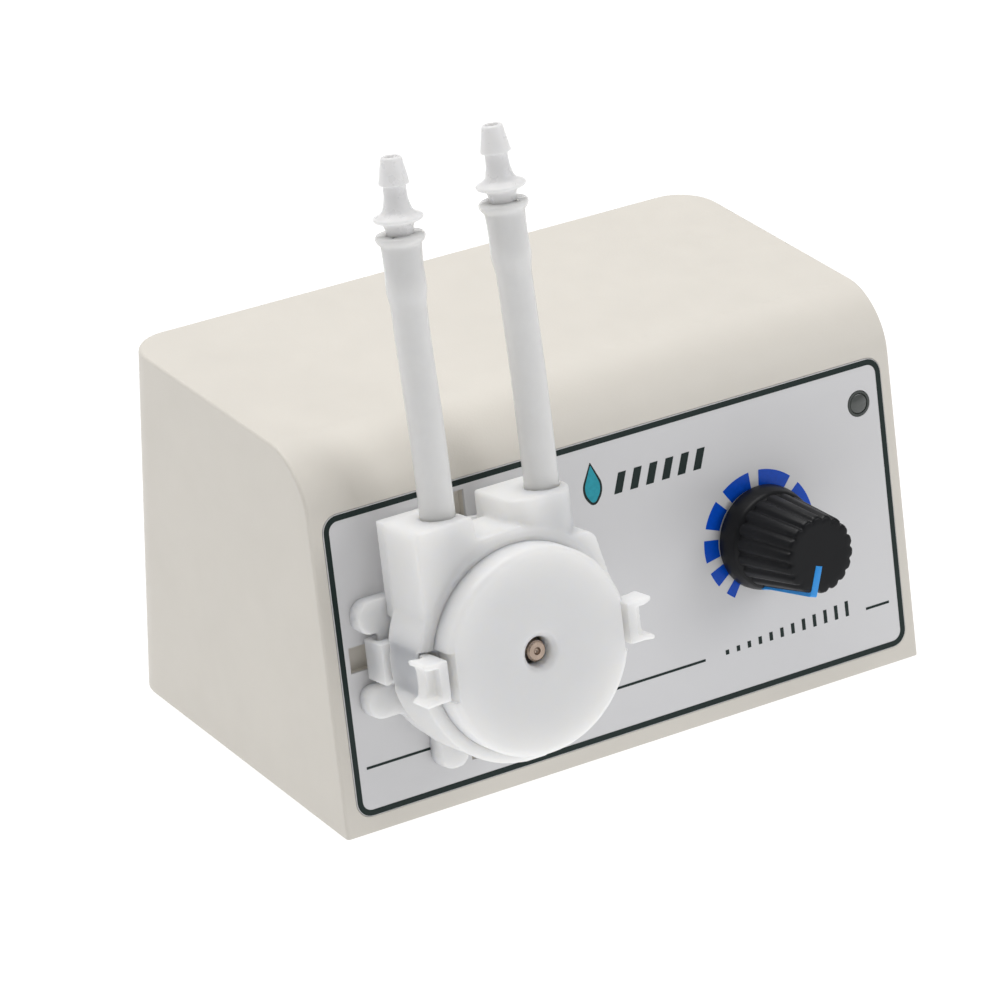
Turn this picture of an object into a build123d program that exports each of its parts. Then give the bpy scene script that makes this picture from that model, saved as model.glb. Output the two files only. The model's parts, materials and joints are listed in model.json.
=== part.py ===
from build123d import *
import math
import os

# Small dosing pump: a beige sloped case with a clip-on peristaltic head and a speed knob on its face.
# Millimetres. +X runs to the right of the front, +Y to the back, +Z up.
# The finished model has its origin at the centre of the underside of its box, the free tubing left out.

# ---------------------------------------------------------------- case
case_width = 100.0
case_depth = 59.2
case_height = 54.15
face_lean = 11.42              # the front leans back from vertical, degrees
case_wall = 2.0
top_front_radius = 10.0
back_corner_radius = 6.5       # upright back corners, seen from above
edge_radius = 0.5              # all round the side and top edges
inner_corner_radius = 1.0

# ---------------------------------------------------------------- printed front sheet
sheet_left = 2.15              # from the case's left side to the sheet
sheet_right = 1.9
sheet_bottom = 2.4             # up the slope from the case's bottom edge
sheet_top = 8.44               # down the slope from the corner where front and top would meet
sheet_corner_radius = 2.45
sheet_thickness = 0.5
sheet_recess = 0.4
sheet_gap = 0.1

# ---------------------------------------------------------------- places on the front, from the sheet's edges
head_side_margin = 1.7         # from the sheet's left edge to the base's left slot
knob_inset = 24.05             # from the sheet's right edge
led_inset_x = 4.4
led_inset_y = 6.3
head_rise = 0.9                # the head and the knob stand this far above the sheet's middle

# ---------------------------------------------------------------- general fits
press_gap = 0.02               # radial gap where two pieces are fixed together
running_gap = 0.05             # radial gap of a turning fit
sliding_gap = 0.15             # gap each side of a loose piece

# ---------------------------------------------------------------- bottom cover, its screws and feet
cover_thickness = 2.0
cover_gap = 0.15
boss_radius = 3.2
boss_height = 12.0
boss_inset = 4.4               # boss axis from the inner face of a side wall
boss_front = 9.2
boss_back_inset = 5.2
screw_radius = 1.2
screw_length = 9.0
screw_head_radius = 2.2
screw_head_height = 1.1
foot_radius = 4.0
foot_recess = 1.1
foot_proud = 1.0
foot_inset_x = 14.0
foot_inset_y = 9.0

# ---------------------------------------------------------------- motor
motor_radius = 12.2
motor_length = 31.0
motor_wall = 0.9
motor_hole_gap = 0.5
end_cap_depth = 3.0
bearing_radius = 3.5
bearing_height = 1.6
shaft_radius = 1.5
shaft_tip = 17.9
armature_radius = 7.6
magnet_gap = 0.6
motor_screw_radius = 1.25
motor_screw_head_radius = 2.3
motor_screw_head_height = 1.3
motor_screw_orbit = 8.4
terminal_spread = 5.0

# ---------------------------------------------------------------- pump head: roller drive
roller_count = 3
sleeve_radius = 2.5
roller_gap = 0.05              # clearance between a roller and the sleeve
pinch_gap = 0.1                # clearance between the rollers' path and the pressed tube
roller_pin_radius = 1.0
plate_inset = 0.7              # the carrier's plates stay this far inside the rollers' path
plate_thickness = 1.0
chamber_radius = 11.6
chamber_floor = 4.9
chamber_front = 14.2
plate_gap = 0.3

# ---------------------------------------------------------------- pump head: tube
tube_radius = 2.5
tube_bore_radius = 1.5
tube_axis_height = 9.3
inlet_shift = 0.9              # the inlet stands this far inside the track's side
squashed_thickness = 1.8
squashed_width = 6.4
tube_hole_gap = 0.1
tube_wall_gap = 0.1

# ---------------------------------------------------------------- pump head: base, housing and cover
base_rim = 3.2                 # the base's radius beyond the motor's
base_ledge = 1.0               # the ledge that the latches hook, beyond the base
base_back = 0.15               # just clear of the front sheet
base_front = 3.0
ear_length = 3.6               # beyond the base
ear_half_width = 8.65
ear_notch_half_width = 3.85
ear_notch_floor = 0.2          # the notch's floor stands this far outside the base
ear_lobe_radius = 2.4
slot_width = 3.8
slot_end_gap = 0.65
leg_gap = 1.4                  # from the motor to a leg
leg_width = 3.2
leg_thickness = 2.0
leg_barb = 1.1
spigot_radius = 10.0
spigot_height = 0.8
skirt_inset = 0.2              # the housing's back, inside the base
skirt_front = 5.6
body_rim = 1.4                 # the housing's radius beyond the base
block_height = 3.4             # the tube blocks' tops above the housing's round
block_wall_out = 4.3           # from the inlet to its block's outer side
block_wall_in = 0.3
block_wall_low = 5.0           # from the outlet to its block's inner side
block_wall_high = 0.6
right_block_front = 13.8
right_block_round = 3.4
valley_height = 0.2
shoulder_inset = 3.0
shoulder_drop = 3.4
shoulder_radius = 1.6
body_edge_radius = 0.8
boss_ring_inset = 0.9
boss_ring_height = 0.4
cover_inset = 1.8              # the cover's radius inside the housing's
cover_front = 18.9
cover_wall = 1.6
cover_rim_radius = 1.0
cover_hole_radius = 2.15
cover_recess_radius = 2.9
cover_notch_depth = 1.5
cover_notch_half_width = 4.3
peg_radius = 0.7
peg_inset = 1.4
peg_length = 3.0
peg_angles = (20, 160, 235, 305)

# ---------------------------------------------------------------- pump head: latches
latch_half_width = 3.0
latch_pivot_inset = 1.7        # from the housing's round to the latch's pins
latch_pivot_height = 9.5
latch_pin_radius = 0.7
latch_pin_length = 1.1
latch_hub_wall = 0.3
latch_face_inset = 0.1
hook_wall = 1.1                # hook's thickness outside the base's ledge
hook_gap = 0.25                # from the ledge to the inside of the hook
hook_back = 0.9
hook_catch = 1.9
tab_back = 14.8
tab_front = 18.8
tab_overlap = 0.05             # the tab starts this far inside the cover's round
tab_length = 3.0
tab_ear_length = 1.0
tab_ear_width = 0.9
groove_depth = 2.75
groove_gap = 0.25

# ---------------------------------------------------------------- speed control
bushing_radius = 3.5
bushing_front = 5.0
bushing_hole_gap = 0.1
pot_radius = 8.2
pot_back = 9.5
pot_front = 2.6
pot_shaft_radius = 3.0
pot_shaft_tip = 12.6
washer_radius = 5.6
washer_thickness = 0.5
nut_across_flats = 10.0
nut_thickness = 2.0
knob_bottom = 0.9
knob_top = 15.3
skirt_bottom_radius = 7.75
skirt_top_radius = 7.2
knob_skirt_height = 2.7
grip_bottom_radius = 6.9
grip_top_radius = 5.75
knob_flutes = 18
flute_radius = 0.75
knob_cavity_radius = 6.1
knob_cavity_top = 6.0
pointer_width = 1.0
pointer_depth = 0.8
pointer_inner = 1.9
pointer_turn = 19.5            # the pointer rests this far clockwise of straight down

# ---------------------------------------------------------------- indicator light
led_radius = 1.9
led_flange_radius = 2.4
led_hole_gap = 0.08

# ---------------------------------------------------------------- control board
board_left_reach = 15.05       # from the knob's axis to the board's left edge
board_low_reach = 13.5
board_right_reach = 2.3        # from the light's axis to the board's right edge
board_high_reach = 3.5
board_back = 12.6
board_front = 11.0
capacitor_place = (13.95, 10.5)        # across and up from the knob's axis
chip_place = (-0.05, 10.5)
motor_plug_place = (-10.05, -4.5)
power_plug_place = (7.95, -5.5)
capacitor_radius = 4.0
capacitor_length = 8.5
chip_thickness = 1.6
plug_height = 6.0
lead_spread = 1.1              # each lead of a pair from the middle of its plug
light_leg_radius = 0.25
light_leg_spread = 1.27

# ---------------------------------------------------------------- power inlet
jack_across = 30.0
jack_up = 18.0
jack_thread_radius = 4.0
jack_flange_radius = 5.6
jack_flange_thickness = 1.4
jack_socket_radius = 2.85
jack_socket_depth = 9.0
jack_pin_radius = 1.05
jack_length = 13.0
jack_nut_across_flats = 10.5

# ---------------------------------------------------------------- leads and free tubing
lead_radius = 0.65
straight_run = 12.0            # each tube's length up to its first bend
middle_run = 26.0              # and up to its second bend
inlet_length = 40.3
outlet_length = 41.1
inlet_lean = [(0.0, 0.0), (0.0, 0.0), (-0.55, -0.1), (-0.45, -0.2)]      # across and outwards at each point
outlet_lean = [(0.0, 0.0), (0.0, 0.0), (-0.3, -0.08), (-0.85, -0.16)]
swell_radius = 2.85
swell_length = 7.6
flare_radius = 3.5
flare_length = 1.1
flare_lip = 0.4
swell_start = 0.35             # the swelling starts this far inside the tube's surface
swell_taper = 3.0
fitting_bore = 0.9
barb_stem_radius = 1.95
barb_stem_length = 8.0
barb_stem_tip = 1.6
stem_taper = 2.2
collar_radius = 3.5
collar_height = 2.05           # from the tube's end to the collar's rim
collar_rim = 0.4
neck_radius = 1.65
neck_foot_radius = 2.2
neck_height = 4.9
barb_radius = 2.15
barb_height = 6.95             # from the tube's end to the barb's shoulder
barb_tip_radius = 1.45
barb_tip_height = 10.85

# ---------------------------------------------------------------- sizes that follow from those above
LOW = (Align.CENTER, Align.CENTER, Align.MIN)
CLOSE = 0.01                   # how near an edge must be to a face to count as on it
lean = math.radians(face_lean)
sheet_height = case_height / math.cos(lean) - sheet_bottom - sheet_top
roller_reach = chamber_radius - tube_wall_gap - squashed_thickness - pinch_gap
roller_radius = (roller_reach - sleeve_radius) / 2
roller_orbit = sleeve_radius + roller_radius
plate_radius = roller_reach - plate_inset
tube_right = chamber_radius - tube_radius
tube_left = inlet_shift - tube_right
base_radius = motor_radius + base_rim
base_ledge_radius = base_radius + base_ledge
ear_reach = base_radius + ear_length
slot_reach = ear_reach + slot_end_gap
leg_inner = motor_radius + leg_gap
leg_outer = leg_inner + leg_thickness
skirt_radius = base_radius - skirt_inset
body_radius = base_radius + body_rim
block_top = body_radius + block_height
valley_top = body_radius + valley_height
left_block = (tube_left - tube_radius - block_wall_out, tube_left + tube_radius + block_wall_in)
right_block = (tube_right - tube_radius - block_wall_low, tube_right + tube_radius + block_wall_high)
shoulder_reach = body_radius - shoulder_inset
shoulder_top = body_radius - shoulder_drop
boss_ring_radius = body_radius - boss_ring_inset
cover_radius = body_radius - cover_inset
cover_notch_flat = cover_radius - cover_notch_depth
peg_orbit = cover_radius - peg_inset
latch_pivot_x = body_radius - latch_pivot_inset
latch_inner = skirt_radius + running_gap
latch_outer = body_radius - latch_face_inset
hook_outer = base_ledge_radius + hook_wall
hook_tip = base_radius + hook_gap
tab_inner = cover_radius - tab_overlap
tab_reach = cover_radius + tab_length
tab_ear_reach = tab_reach + tab_ear_length
groove_floor = body_radius - groove_depth
head_across = sheet_left + slot_reach + head_side_margin
control_up = sheet_bottom + sheet_height / 2 + head_rise
knob_across = case_width - sheet_right - knob_inset
led_across = case_width - sheet_right - led_inset_x
led_up = sheet_bottom + sheet_height - led_inset_y
face_plane = Plane(
    origin=(-case_width / 2, 0, 0),
    x_dir=(1, 0, 0),
    z_dir=(0, -math.cos(lean), math.sin(lean)),
)
on_face = face_plane.location
on_head = on_face * Pos(head_across, control_up, 0)
on_knob = on_face * Pos(knob_across, control_up, 0)
on_led = on_face * Pos(led_across, led_up, 0)
on_jack = Pos(jack_across, case_depth, jack_up) * Rot(-90, 0, 0)
nodes = {}


# ---------------------------------------------------------------- shared shapes
def round_bar(radius, start, end, x=0.0, y=0.0):
    """Round bar along Z from one height to another."""
    return Pos(x, y, start) * Cylinder(radius, end - start, align=LOW)


def ring(outer, inner, start, end, x=0.0, y=0.0):
    """Tube along Z from one height to another."""
    hole = round_bar(inner, start - 1, end + 1, x, y)
    return round_bar(outer, start, end, x, y) - hole


def block(x_span, y_span, z_span):
    """Box between two limits on each axis."""
    size = [high - low for low, high in (x_span, y_span, z_span)]
    middle = [(high + low) / 2 for low, high in (x_span, y_span, z_span)]
    return Pos(*middle) * Box(*size)


def turned(outline):
    """Solid of revolution about Z from (radius, height) corners."""
    face = make_face(Polyline([Vector(r, 0, z) for r, z in outline], close=True))
    return revolve(face, Axis.Z)


def hexagon_nut(across_flats, bore, start, end):
    """Hexagon nut with a chamfer where a spanner goes on."""
    body = Pos(0, 0, start) * extrude(RegularPolygon(across_flats / 2, 6, major_radius=False), end - start)
    cone = round_bar(across_flats / 2 * 1.12, start, end)
    cone = chamfer(cone.edges().group_by(Axis.Z)[-1], 0.35)
    return (body & cone) - round_bar(bore, start - 1, end + 1)


def corner_radii(route):
    """Radius of the arc at each inner point of a route, as large as its two runs allow."""
    radii = []
    for before, here, after in zip(route, route[1:], route[2:]):
        arriving = Vector(*here) - Vector(*before)
        leaving = Vector(*after) - Vector(*here)
        half_turn = math.radians(arriving.get_angle(leaving)) / 2
        radii.append(0.45 * min(arriving.length, leaving.length) / math.tan(half_turn))
    return radii


def tube_along(route, radius, name):
    """Solid round tube along straight runs joined by arcs."""
    radii = corner_radii(route)
    path = FilletPolyline(*route, radius=radii)
    start = Plane(origin=path @ 0, z_dir=path % 0)
    solid = sweep(start * Circle(radius), path=path)
    ratio = solid.volume / (math.pi * radius**2 * path.length)
    print(f"{name}: radii {[round(r, 1) for r in radii]}, length {path.length:.1f}, volume ratio {ratio:.3f}")
    return solid


def face_point(across, up, out):
    """Place in the case's frame of a point given along, up and out from the sloped front."""
    return tuple(face_plane.from_local_coords(Vector(across, up, out)))


def head_point(across, up, out):
    """The same, measured from the pump head's axis."""
    return face_point(head_across + across, control_up + up, out)


# ---------------------------------------------------------------- case
def case_section(inset):
    """Side view of the case, set in from the outer faces and open at its bottom edge."""
    slant = inset / math.cos(lean)
    top = case_height - inset
    back = case_depth - inset
    corners = [(slant, 0), (back, 0), (back, top), (top * math.tan(lean) + slant, top)]
    section = Polygon(*corners, align=None)
    front_radius = max(top_front_radius - inset, inner_corner_radius)
    return fillet(section.vertices().group_by(Axis.Y)[-1].sort_by(Axis.X)[0], front_radius)


def case_prism(inset):
    """The case's side view run across its width, with its upright back corners rounded."""
    half, back = case_width / 2 - inset, case_depth - inset
    solid = extrude(Plane.YZ * case_section(inset), half, both=True)
    at_back = [e for e in solid.edges() if abs(e.center().Y - back) < CLOSE]
    uprights = [e for e in at_back if abs(e.center().X) > half - CLOSE]
    return fillet(uprights, max(back_corner_radius - inset, inner_corner_radius))


def boss_places():
    """The four screw bosses, from the front left round to the back left."""
    across = case_width / 2 - case_wall - boss_inset
    back = case_depth - case_wall - boss_back_inset
    return [(x, y) for y in (boss_front, back) for x in (-across, across)]


def foot_places():
    """The four feet, inside the screws."""
    across = case_width / 2 - foot_inset_x
    return [(x, y) for y in (foot_inset_y, case_depth - foot_inset_y) for x in (-across, across)]


def head_openings(low, high):
    """Round motor hole and the cross of slots for the base's legs."""
    cut = round_bar(motor_radius + motor_hole_gap, low, high)
    cut += block((-slot_reach, slot_reach), (-slot_width / 2, slot_width / 2), (low, high))
    cut += block((-slot_width / 2, slot_width / 2), (-slot_reach, slot_reach), (low, high))
    return on_head * cut


def control_openings(low, high):
    """Holes for the speed control's bushing and the light."""
    bushing = on_knob * round_bar(bushing_radius + bushing_hole_gap, low, high)
    light = on_led * round_bar(led_radius + led_hole_gap, low, high)
    return bushing + light


def sheet_outline(grow):
    """Rounded outline of the printed sheet on the front."""
    width = case_width - sheet_left - sheet_right
    centre = Pos(sheet_left + width / 2, sheet_bottom + sheet_height / 2, 0)
    radius = sheet_corner_radius + grow
    return centre * RectangleRounded(width + 2 * grow, sheet_height + 2 * grow, radius)


def build_case():
    """Moulded shell, bottom cover, its screws and feet, and the printed sheet."""
    outer = case_prism(0)
    tops = [e for e in outer.edges() if abs(e.center().Z - case_height) < CLOSE]
    rims = [e for e in tops if abs(e.center().X) > case_width / 2 - CLOSE]
    outer = fillet(rims, edge_radius)
    shell = outer - case_prism(case_wall)
    for x, y in boss_places():
        side = math.copysign(case_width / 2 - case_wall / 2, x)
        low, high = cover_thickness, cover_thickness + boss_height
        web = block(sorted((x, side)), (y - boss_radius / 2, y + boss_radius / 2), (low, high))
        shell += round_bar(boss_radius, low, high, x, y) + web
        shell -= round_bar(screw_radius + press_gap, low - 1, high - 1, x, y)
    shell -= on_face * (Pos(0, 0, -sheet_recess) * extrude(sheet_outline(sheet_gap), 2))
    shell -= head_openings(-2 * case_wall, 1)
    shell -= control_openings(-2 * case_wall, 1)
    shell -= on_jack * round_bar(jack_thread_radius + sliding_gap, -2 * case_wall, 1)
    nodes["enclosure_shell"] = shell

    edge = (case_wall + cover_gap) / math.cos(lean) + cover_thickness * math.tan(lean)
    half = case_width / 2 - case_wall - cover_gap
    back = case_depth - case_wall - cover_gap
    plate = block((-half, half), (edge, back), (0, cover_thickness))
    uprights = [e for e in plate.edges().filter_by(Axis.Z) if abs(e.center().Y - back) < CLOSE]
    plate = fillet(uprights, back_corner_radius - case_wall - cover_gap)
    for x, y in boss_places():
        plate -= round_bar(screw_head_radius + sliding_gap, -1, screw_head_height, x, y)
        plate -= round_bar(screw_radius + sliding_gap, -1, cover_thickness + 1, x, y)
    for x, y in foot_places():
        plate -= round_bar(foot_radius + press_gap, -1, foot_recess, x, y)
    nodes["bottom_cover"] = plate

    screw = round_bar(screw_head_radius, 0.1, screw_head_height)
    screw += round_bar(screw_radius, screw_head_height, screw_length)
    screw -= block((-1.4, 1.4), (-0.25, 0.25), (0, 0.6)) + block((-0.25, 0.25), (-1.4, 1.4), (0, 0.6))
    nodes["cover_screws"] = Compound([Pos(x, y, 0) * screw for x, y in boss_places()])

    foot = round_bar(foot_radius, -foot_proud, foot_recess)
    foot = chamfer(foot.edges().group_by(Axis.Z)[0], 0.4)
    nodes["rubber_feet"] = Compound([Pos(x, y, 0) * foot for x, y in foot_places()])

    sheet = on_face * (Pos(0, 0, -sheet_recess) * extrude(sheet_outline(0), sheet_thickness))
    sheet -= head_openings(-1, 1)
    nodes["front_sheet"] = sheet - control_openings(-1, 1)


# ---------------------------------------------------------------- electronics
def build_electronics():
    """Light, control board with its parts, and the power inlet."""
    front = sheet_thickness - sheet_recess + 0.05
    lens = round_bar(led_radius, -6.0, front)
    lens += round_bar(led_flange_radius, -6.0, -case_wall - 0.2)
    nodes["indicator_led"] = on_led * lens
    spread = light_leg_spread
    legs = [on_led * round_bar(light_leg_radius, -board_front, -6.0, x) for x in (-spread, spread)]
    nodes["led_leads"] = Compound(legs)

    across = (knob_across - board_left_reach, led_across + board_right_reach)
    upward = (control_up - board_low_reach, led_up + board_high_reach)
    board = block(across, upward, (-board_back, -board_front))
    board = fillet(board.edges().filter_by(Axis.Z), 1.0)
    nodes["control_board"] = on_face * board

    capacitor = round_bar(capacitor_radius, -board_back - capacitor_length, -board_back)
    capacitor = fillet(capacitor.edges().group_by(Axis.Z)[0], 0.6)
    nodes["filter_capacitor"] = on_knob * (Pos(*capacitor_place, 0) * capacitor)
    chip = block((-2.5, 2.5), (-2.0, 2.0), (-board_back - chip_thickness, -board_back))
    nodes["driver_chip"] = on_knob * (Pos(*chip_place, 0) * chip)
    plug = block((-3.2, 3.2), (-2.4, 2.4), (-board_back - plug_height, -board_back))
    nodes["motor_connector"] = on_knob * (Pos(*motor_plug_place, 0) * plug)
    nodes["power_connector"] = on_knob * (Pos(*power_plug_place, 0) * plug)

    body = round_bar(jack_thread_radius, -jack_length, 0) + round_bar(jack_flange_radius, 0, jack_flange_thickness)
    body = chamfer(body.edges().group_by(Axis.Z)[-1], 0.4)
    mouth = jack_flange_thickness
    body -= round_bar(jack_socket_radius, mouth - jack_socket_depth, mouth + 1)
    body -= round_bar(jack_pin_radius + press_gap, mouth - jack_socket_depth - 2, mouth)
    nodes["power_jack"] = on_jack * body
    pin = round_bar(jack_pin_radius, mouth - jack_socket_depth - 2, mouth - 1.2)
    nodes["power_jack_pin"] = on_jack * fillet(pin.edges().group_by(Axis.Z)[-1], 0.5)
    tags = [block((x - 0.9, x + 0.9), (-0.3, 0.3), (-jack_length - 3.2, -jack_length)) for x in (-2.2, 2.2)]
    nodes["power_jack_tags"] = on_jack * Compound(tags)
    nut = hexagon_nut(jack_nut_across_flats, jack_thread_radius + press_gap, 0, 2.2)
    nodes["power_jack_nut"] = on_jack * (Pos(0, 0, -case_wall) * Rot(180, 0, 0) * nut)


def plug_point(place, across=0.0, up=0.0):
    """Where a lead enters a plug on the board, off the plug's middle."""
    return face_point(knob_across + place[0] + across, control_up + place[1] + up, -board_back - plug_height)


def build_leads():
    """Two pairs of insulated leads behind the front."""
    start_out = -motor_length - 2.9
    pair = []
    for side in (-1, 1):
        route = [
            head_point(0, terminal_spread * side, start_out),
            head_point(0.9, (terminal_spread - 0.4) * side, start_out - 3.0),
            head_point(6.0, -0.6 + 3.2 * side, start_out - 5.6),
            head_point(16.0, -2.6 + 2.0 * side, start_out - 4.0),
            head_point(27.0, -4.0 + 1.3 * side, start_out + 2.2),
            head_point(36.5, -4.6 + 1.1 * side, start_out + 9.6),
            plug_point(motor_plug_place, up=lead_spread * side),
        ]
        pair.append(tube_along(route, lead_radius, "motor lead"))
    nodes["motor_leads"] = Compound(pair)
    pair = []
    tag_end = case_depth - jack_length - 3.2
    for side in (-1, 1):
        end = plug_point(power_plug_place, across=lead_spread * side)
        route = [
            (jack_across + 2.2 * side, tag_end, jack_up),
            (jack_across + 2.0 * side, tag_end - 4.0, jack_up - 0.5),
            (end[0] + 0.3 * side, end[1] + 9.0, end[2] - 2.6),
            (end[0], end[1] + 3.4, end[2] - 0.67),
            end,
        ]
        pair.append(tube_along(route, lead_radius, "power lead"))
    nodes["power_leads"] = Compound(pair)


# ---------------------------------------------------------------- speed control
def build_speed_control():
    """Potentiometer, its washer and nut, and the fluted knob with its pointer."""
    body = round_bar(pot_radius, -pot_back, -pot_front)
    body += block((-pot_radius, pot_radius), (-pot_radius - 2.0, 0), (-pot_back, -pot_back + 1.6))
    body += round_bar(bushing_radius, -pot_front, bushing_front)
    body -= round_bar(pot_shaft_radius + running_gap, -pot_back + 1.0, bushing_front + 1)
    nodes["potentiometer"] = on_knob * body
    pins = [
        block((x - 0.5, x + 0.5), (-pot_radius - 1.6, -pot_radius - 1.0), (-board_front, -pot_back))
        for x in (-5.0, 0.0, 5.0)
    ]
    nodes["potentiometer_pins"] = on_knob * Compound(pins)
    seat = sheet_thickness - sheet_recess
    washer = ring(washer_radius, bushing_radius + press_gap, seat, seat + washer_thickness)
    nodes["control_washer"] = on_knob * washer
    low = seat + washer_thickness
    nut = hexagon_nut(nut_across_flats, bushing_radius + press_gap, low, low + nut_thickness)
    nodes["control_nut"] = on_knob * nut
    shaft = round_bar(pot_shaft_radius, -pot_back + 1.2, pot_shaft_tip)
    shaft = chamfer(shaft.edges().group_by(Axis.Z)[-1], 0.5)
    nodes["control_shaft"] = on_knob * shaft

    skirt_top = knob_bottom + knob_skirt_height
    outline = [
        (0, knob_bottom),
        (skirt_bottom_radius, knob_bottom),
        (skirt_bottom_radius, knob_bottom + 0.8),
        (skirt_top_radius, skirt_top),
        (grip_bottom_radius, skirt_top + 0.25),
        (grip_top_radius, knob_top),
        (0, knob_top),
    ]
    knob = turned(outline)
    knob = chamfer(knob.edges().group_by(Axis.Z)[-1], 0.35)
    slope = math.degrees(math.atan((grip_bottom_radius - grip_top_radius) / (knob_top - skirt_top)))
    centre_radius = grip_bottom_radius + flute_radius * 0.45
    groove = Pos(centre_radius, 0, skirt_top) * Rot(0, -slope, 0) * round_bar(flute_radius, -0.2, 2 * knob_top)
    for index in range(knob_flutes):
        knob -= Rot(0, 0, (index + 0.5) * 360 / knob_flutes) * groove
    knob -= round_bar(knob_cavity_radius, 0, knob_cavity_top)
    knob -= round_bar(pot_shaft_radius + press_gap, 0, pot_shaft_tip + 0.2)

    reach = skirt_bottom_radius + 1
    half = pointer_width / 2
    slab = block((-half, half), (-reach, -pointer_inner), (skirt_top - 0.6, knob_top + 1))
    core_radius = grip_bottom_radius - pointer_depth
    core = turned([
        (0, 0),
        (core_radius, 0),
        (core_radius, skirt_top),
        (grip_top_radius - pointer_depth, knob_top - pointer_depth),
        (0, knob_top - pointer_depth),
    ])
    whole = turned([
        (0, 0),
        (skirt_bottom_radius, 0),
        (skirt_top_radius, skirt_top),
        (grip_bottom_radius + 0.12, skirt_top + 0.25),
        (grip_top_radius + 0.12, knob_top - 0.2),
        (grip_top_radius - 0.1, knob_top + 0.05),
        (0, knob_top + 0.05),
    ])
    pointer = (slab & whole) - core
    aim = Rot(0, 0, -pointer_turn)
    nodes["knob"] = on_knob * (knob - aim * pointer)
    nodes["knob_pointer"] = on_knob * (aim * pointer)


# ---------------------------------------------------------------- motor
def build_motor():
    """Direct-current motor behind the head, with its shaft, sleeve and screws."""
    back = base_back - motor_length
    can = round_bar(motor_radius, back + end_cap_depth, base_back)
    can = fillet(can.edges().group_by(Axis.Z)[-1], 0.6)
    can -= round_bar(motor_radius - motor_wall, back, base_back - motor_wall)
    can += round_bar(bearing_radius, base_back - 1.0, base_back + bearing_height)
    can -= round_bar(shaft_radius + running_gap, back, base_back + 3)
    places = [(motor_screw_orbit, 45), (motor_screw_orbit, 225)]
    holes = [Rot(0, 0, a) * round_bar(motor_screw_radius + press_gap, -3, 3, r) for r, a in places]
    for hole in holes:
        can -= hole
    nodes["motor_can"] = on_head * can

    cap = round_bar(motor_radius, back, back + end_cap_depth)
    cap = fillet(cap.edges().group_by(Axis.Z)[0], 0.8)
    cap += round_bar(bearing_radius, back - 1.2, back)
    cap -= round_bar(shaft_radius + running_gap, back - 0.4, back + end_cap_depth + 1)
    nodes["motor_end_cap"] = on_head * cap
    tags = [
        block((-1.0, 1.0), (y - 0.25, y + 0.25), (back - 2.9 - base_back, back))
        for y in (-terminal_spread, terminal_spread)
    ]
    nodes["motor_terminals"] = on_head * Compound(tags)

    inner = motor_radius - motor_wall - press_gap
    magnet = ring(inner, armature_radius + magnet_gap, back + 7, base_back - 4)
    gap = block((-20, 20), (-2.2, 2.2), (-40, 10))
    nodes["motor_magnets"] = on_head * Compound((magnet - gap).solids())

    armature = round_bar(armature_radius, back + 8, base_back - 5)
    for index in range(5):
        slot = block((armature_radius - 3.2, armature_radius + 1), (-0.6, 0.6), (back, 0))
        armature -= Rot(0, 0, index * 72) * slot
    armature -= round_bar(shaft_radius + press_gap, -40, 10)
    nodes["motor_armature"] = on_head * armature
    shaft = round_bar(shaft_radius, back - 0.2, shaft_tip)
    shaft = chamfer(shaft.edges().group_by(Axis.Z)[-1], 0.25)
    shaft -= Pos(0, 0, shaft_tip) * Sphere(0.55)
    nodes["motor_shaft"] = on_head * shaft
    sleeve = ring(sleeve_radius, shaft_radius + press_gap, chamber_floor + 0.3, chamber_front - 0.5)
    nodes["drive_sleeve"] = on_head * sleeve

    head = base_front - 0.1
    screw = round_bar(motor_screw_head_radius, head - motor_screw_head_height, head, motor_screw_orbit)
    screw += round_bar(motor_screw_radius, -2.6, head - motor_screw_head_height, motor_screw_orbit)
    screw -= block((motor_screw_orbit - 1.5, motor_screw_orbit + 1.5), (-0.3, 0.3), (head - 0.6, head + 1))
    nodes["motor_screws"] = on_head * Compound([Rot(0, 0, angle) * screw for radius, angle in places])


# ---------------------------------------------------------------- pump head
def build_base():
    """Base that clips into the front's slots, with four notched ears."""
    base = round_bar(base_radius, base_back, base_front)
    base += round_bar(base_ledge_radius, hook_catch + 0.1, base_front)
    ear = Pos((ear_reach + 8) / 2, 0, 0) * Rectangle(ear_reach - 8, 2 * ear_half_width)
    notch_floor = base_radius + ear_notch_floor
    notch_length = ear_reach - notch_floor + 1
    ear -= Pos(notch_floor + notch_length / 2, 0, 0) * Rectangle(notch_length, 2 * ear_notch_half_width)
    tips = [v for v in ear.vertices() if v.X > ear_reach - 0.01]
    outer_tips = [v for v in tips if abs(v.Y) > ear_half_width - 0.01]
    ear = fillet(outer_tips, ear_lobe_radius)
    inner_tips = [v for v in ear.vertices() if v.X > ear_reach - 0.01 and abs(v.Y) < ear_notch_half_width + 0.01]
    ear = fillet(inner_tips, 1.6)
    pad = Pos(0, 0, base_back) * extrude(ear, base_front - base_back)
    leg = block((leg_inner, leg_outer), (-leg_width / 2, leg_width / 2), (-case_wall - 2.2, base_front))
    barb_low, barb_high = -case_wall - 1.9, -case_wall - 0.2
    leg += block((leg_inner, leg_outer), (-leg_width / 2 - leg_barb, leg_width / 2 + leg_barb), (barb_low, barb_high))
    leg -= block((leg_inner - 1, leg_outer + 1), (-0.4, 0.4), (-9, base_back))
    for index in range(4):
        base += Rot(0, 0, 90 * index) * (pad + leg)
    base += round_bar(spigot_radius, base_front, base_front + spigot_height)
    base -= round_bar(bearing_radius + sliding_gap, -1, base_front + 2)
    head = base_front - 0.1 - motor_screw_head_height
    for angle in (45, 225):
        base -= Rot(0, 0, angle) * round_bar(motor_screw_radius + sliding_gap, -1, 9, motor_screw_orbit)
        base -= Rot(0, 0, angle) * round_bar(motor_screw_head_radius + sliding_gap, head, 9, motor_screw_orbit)
    nodes["pump_base"] = on_head * base


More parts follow.
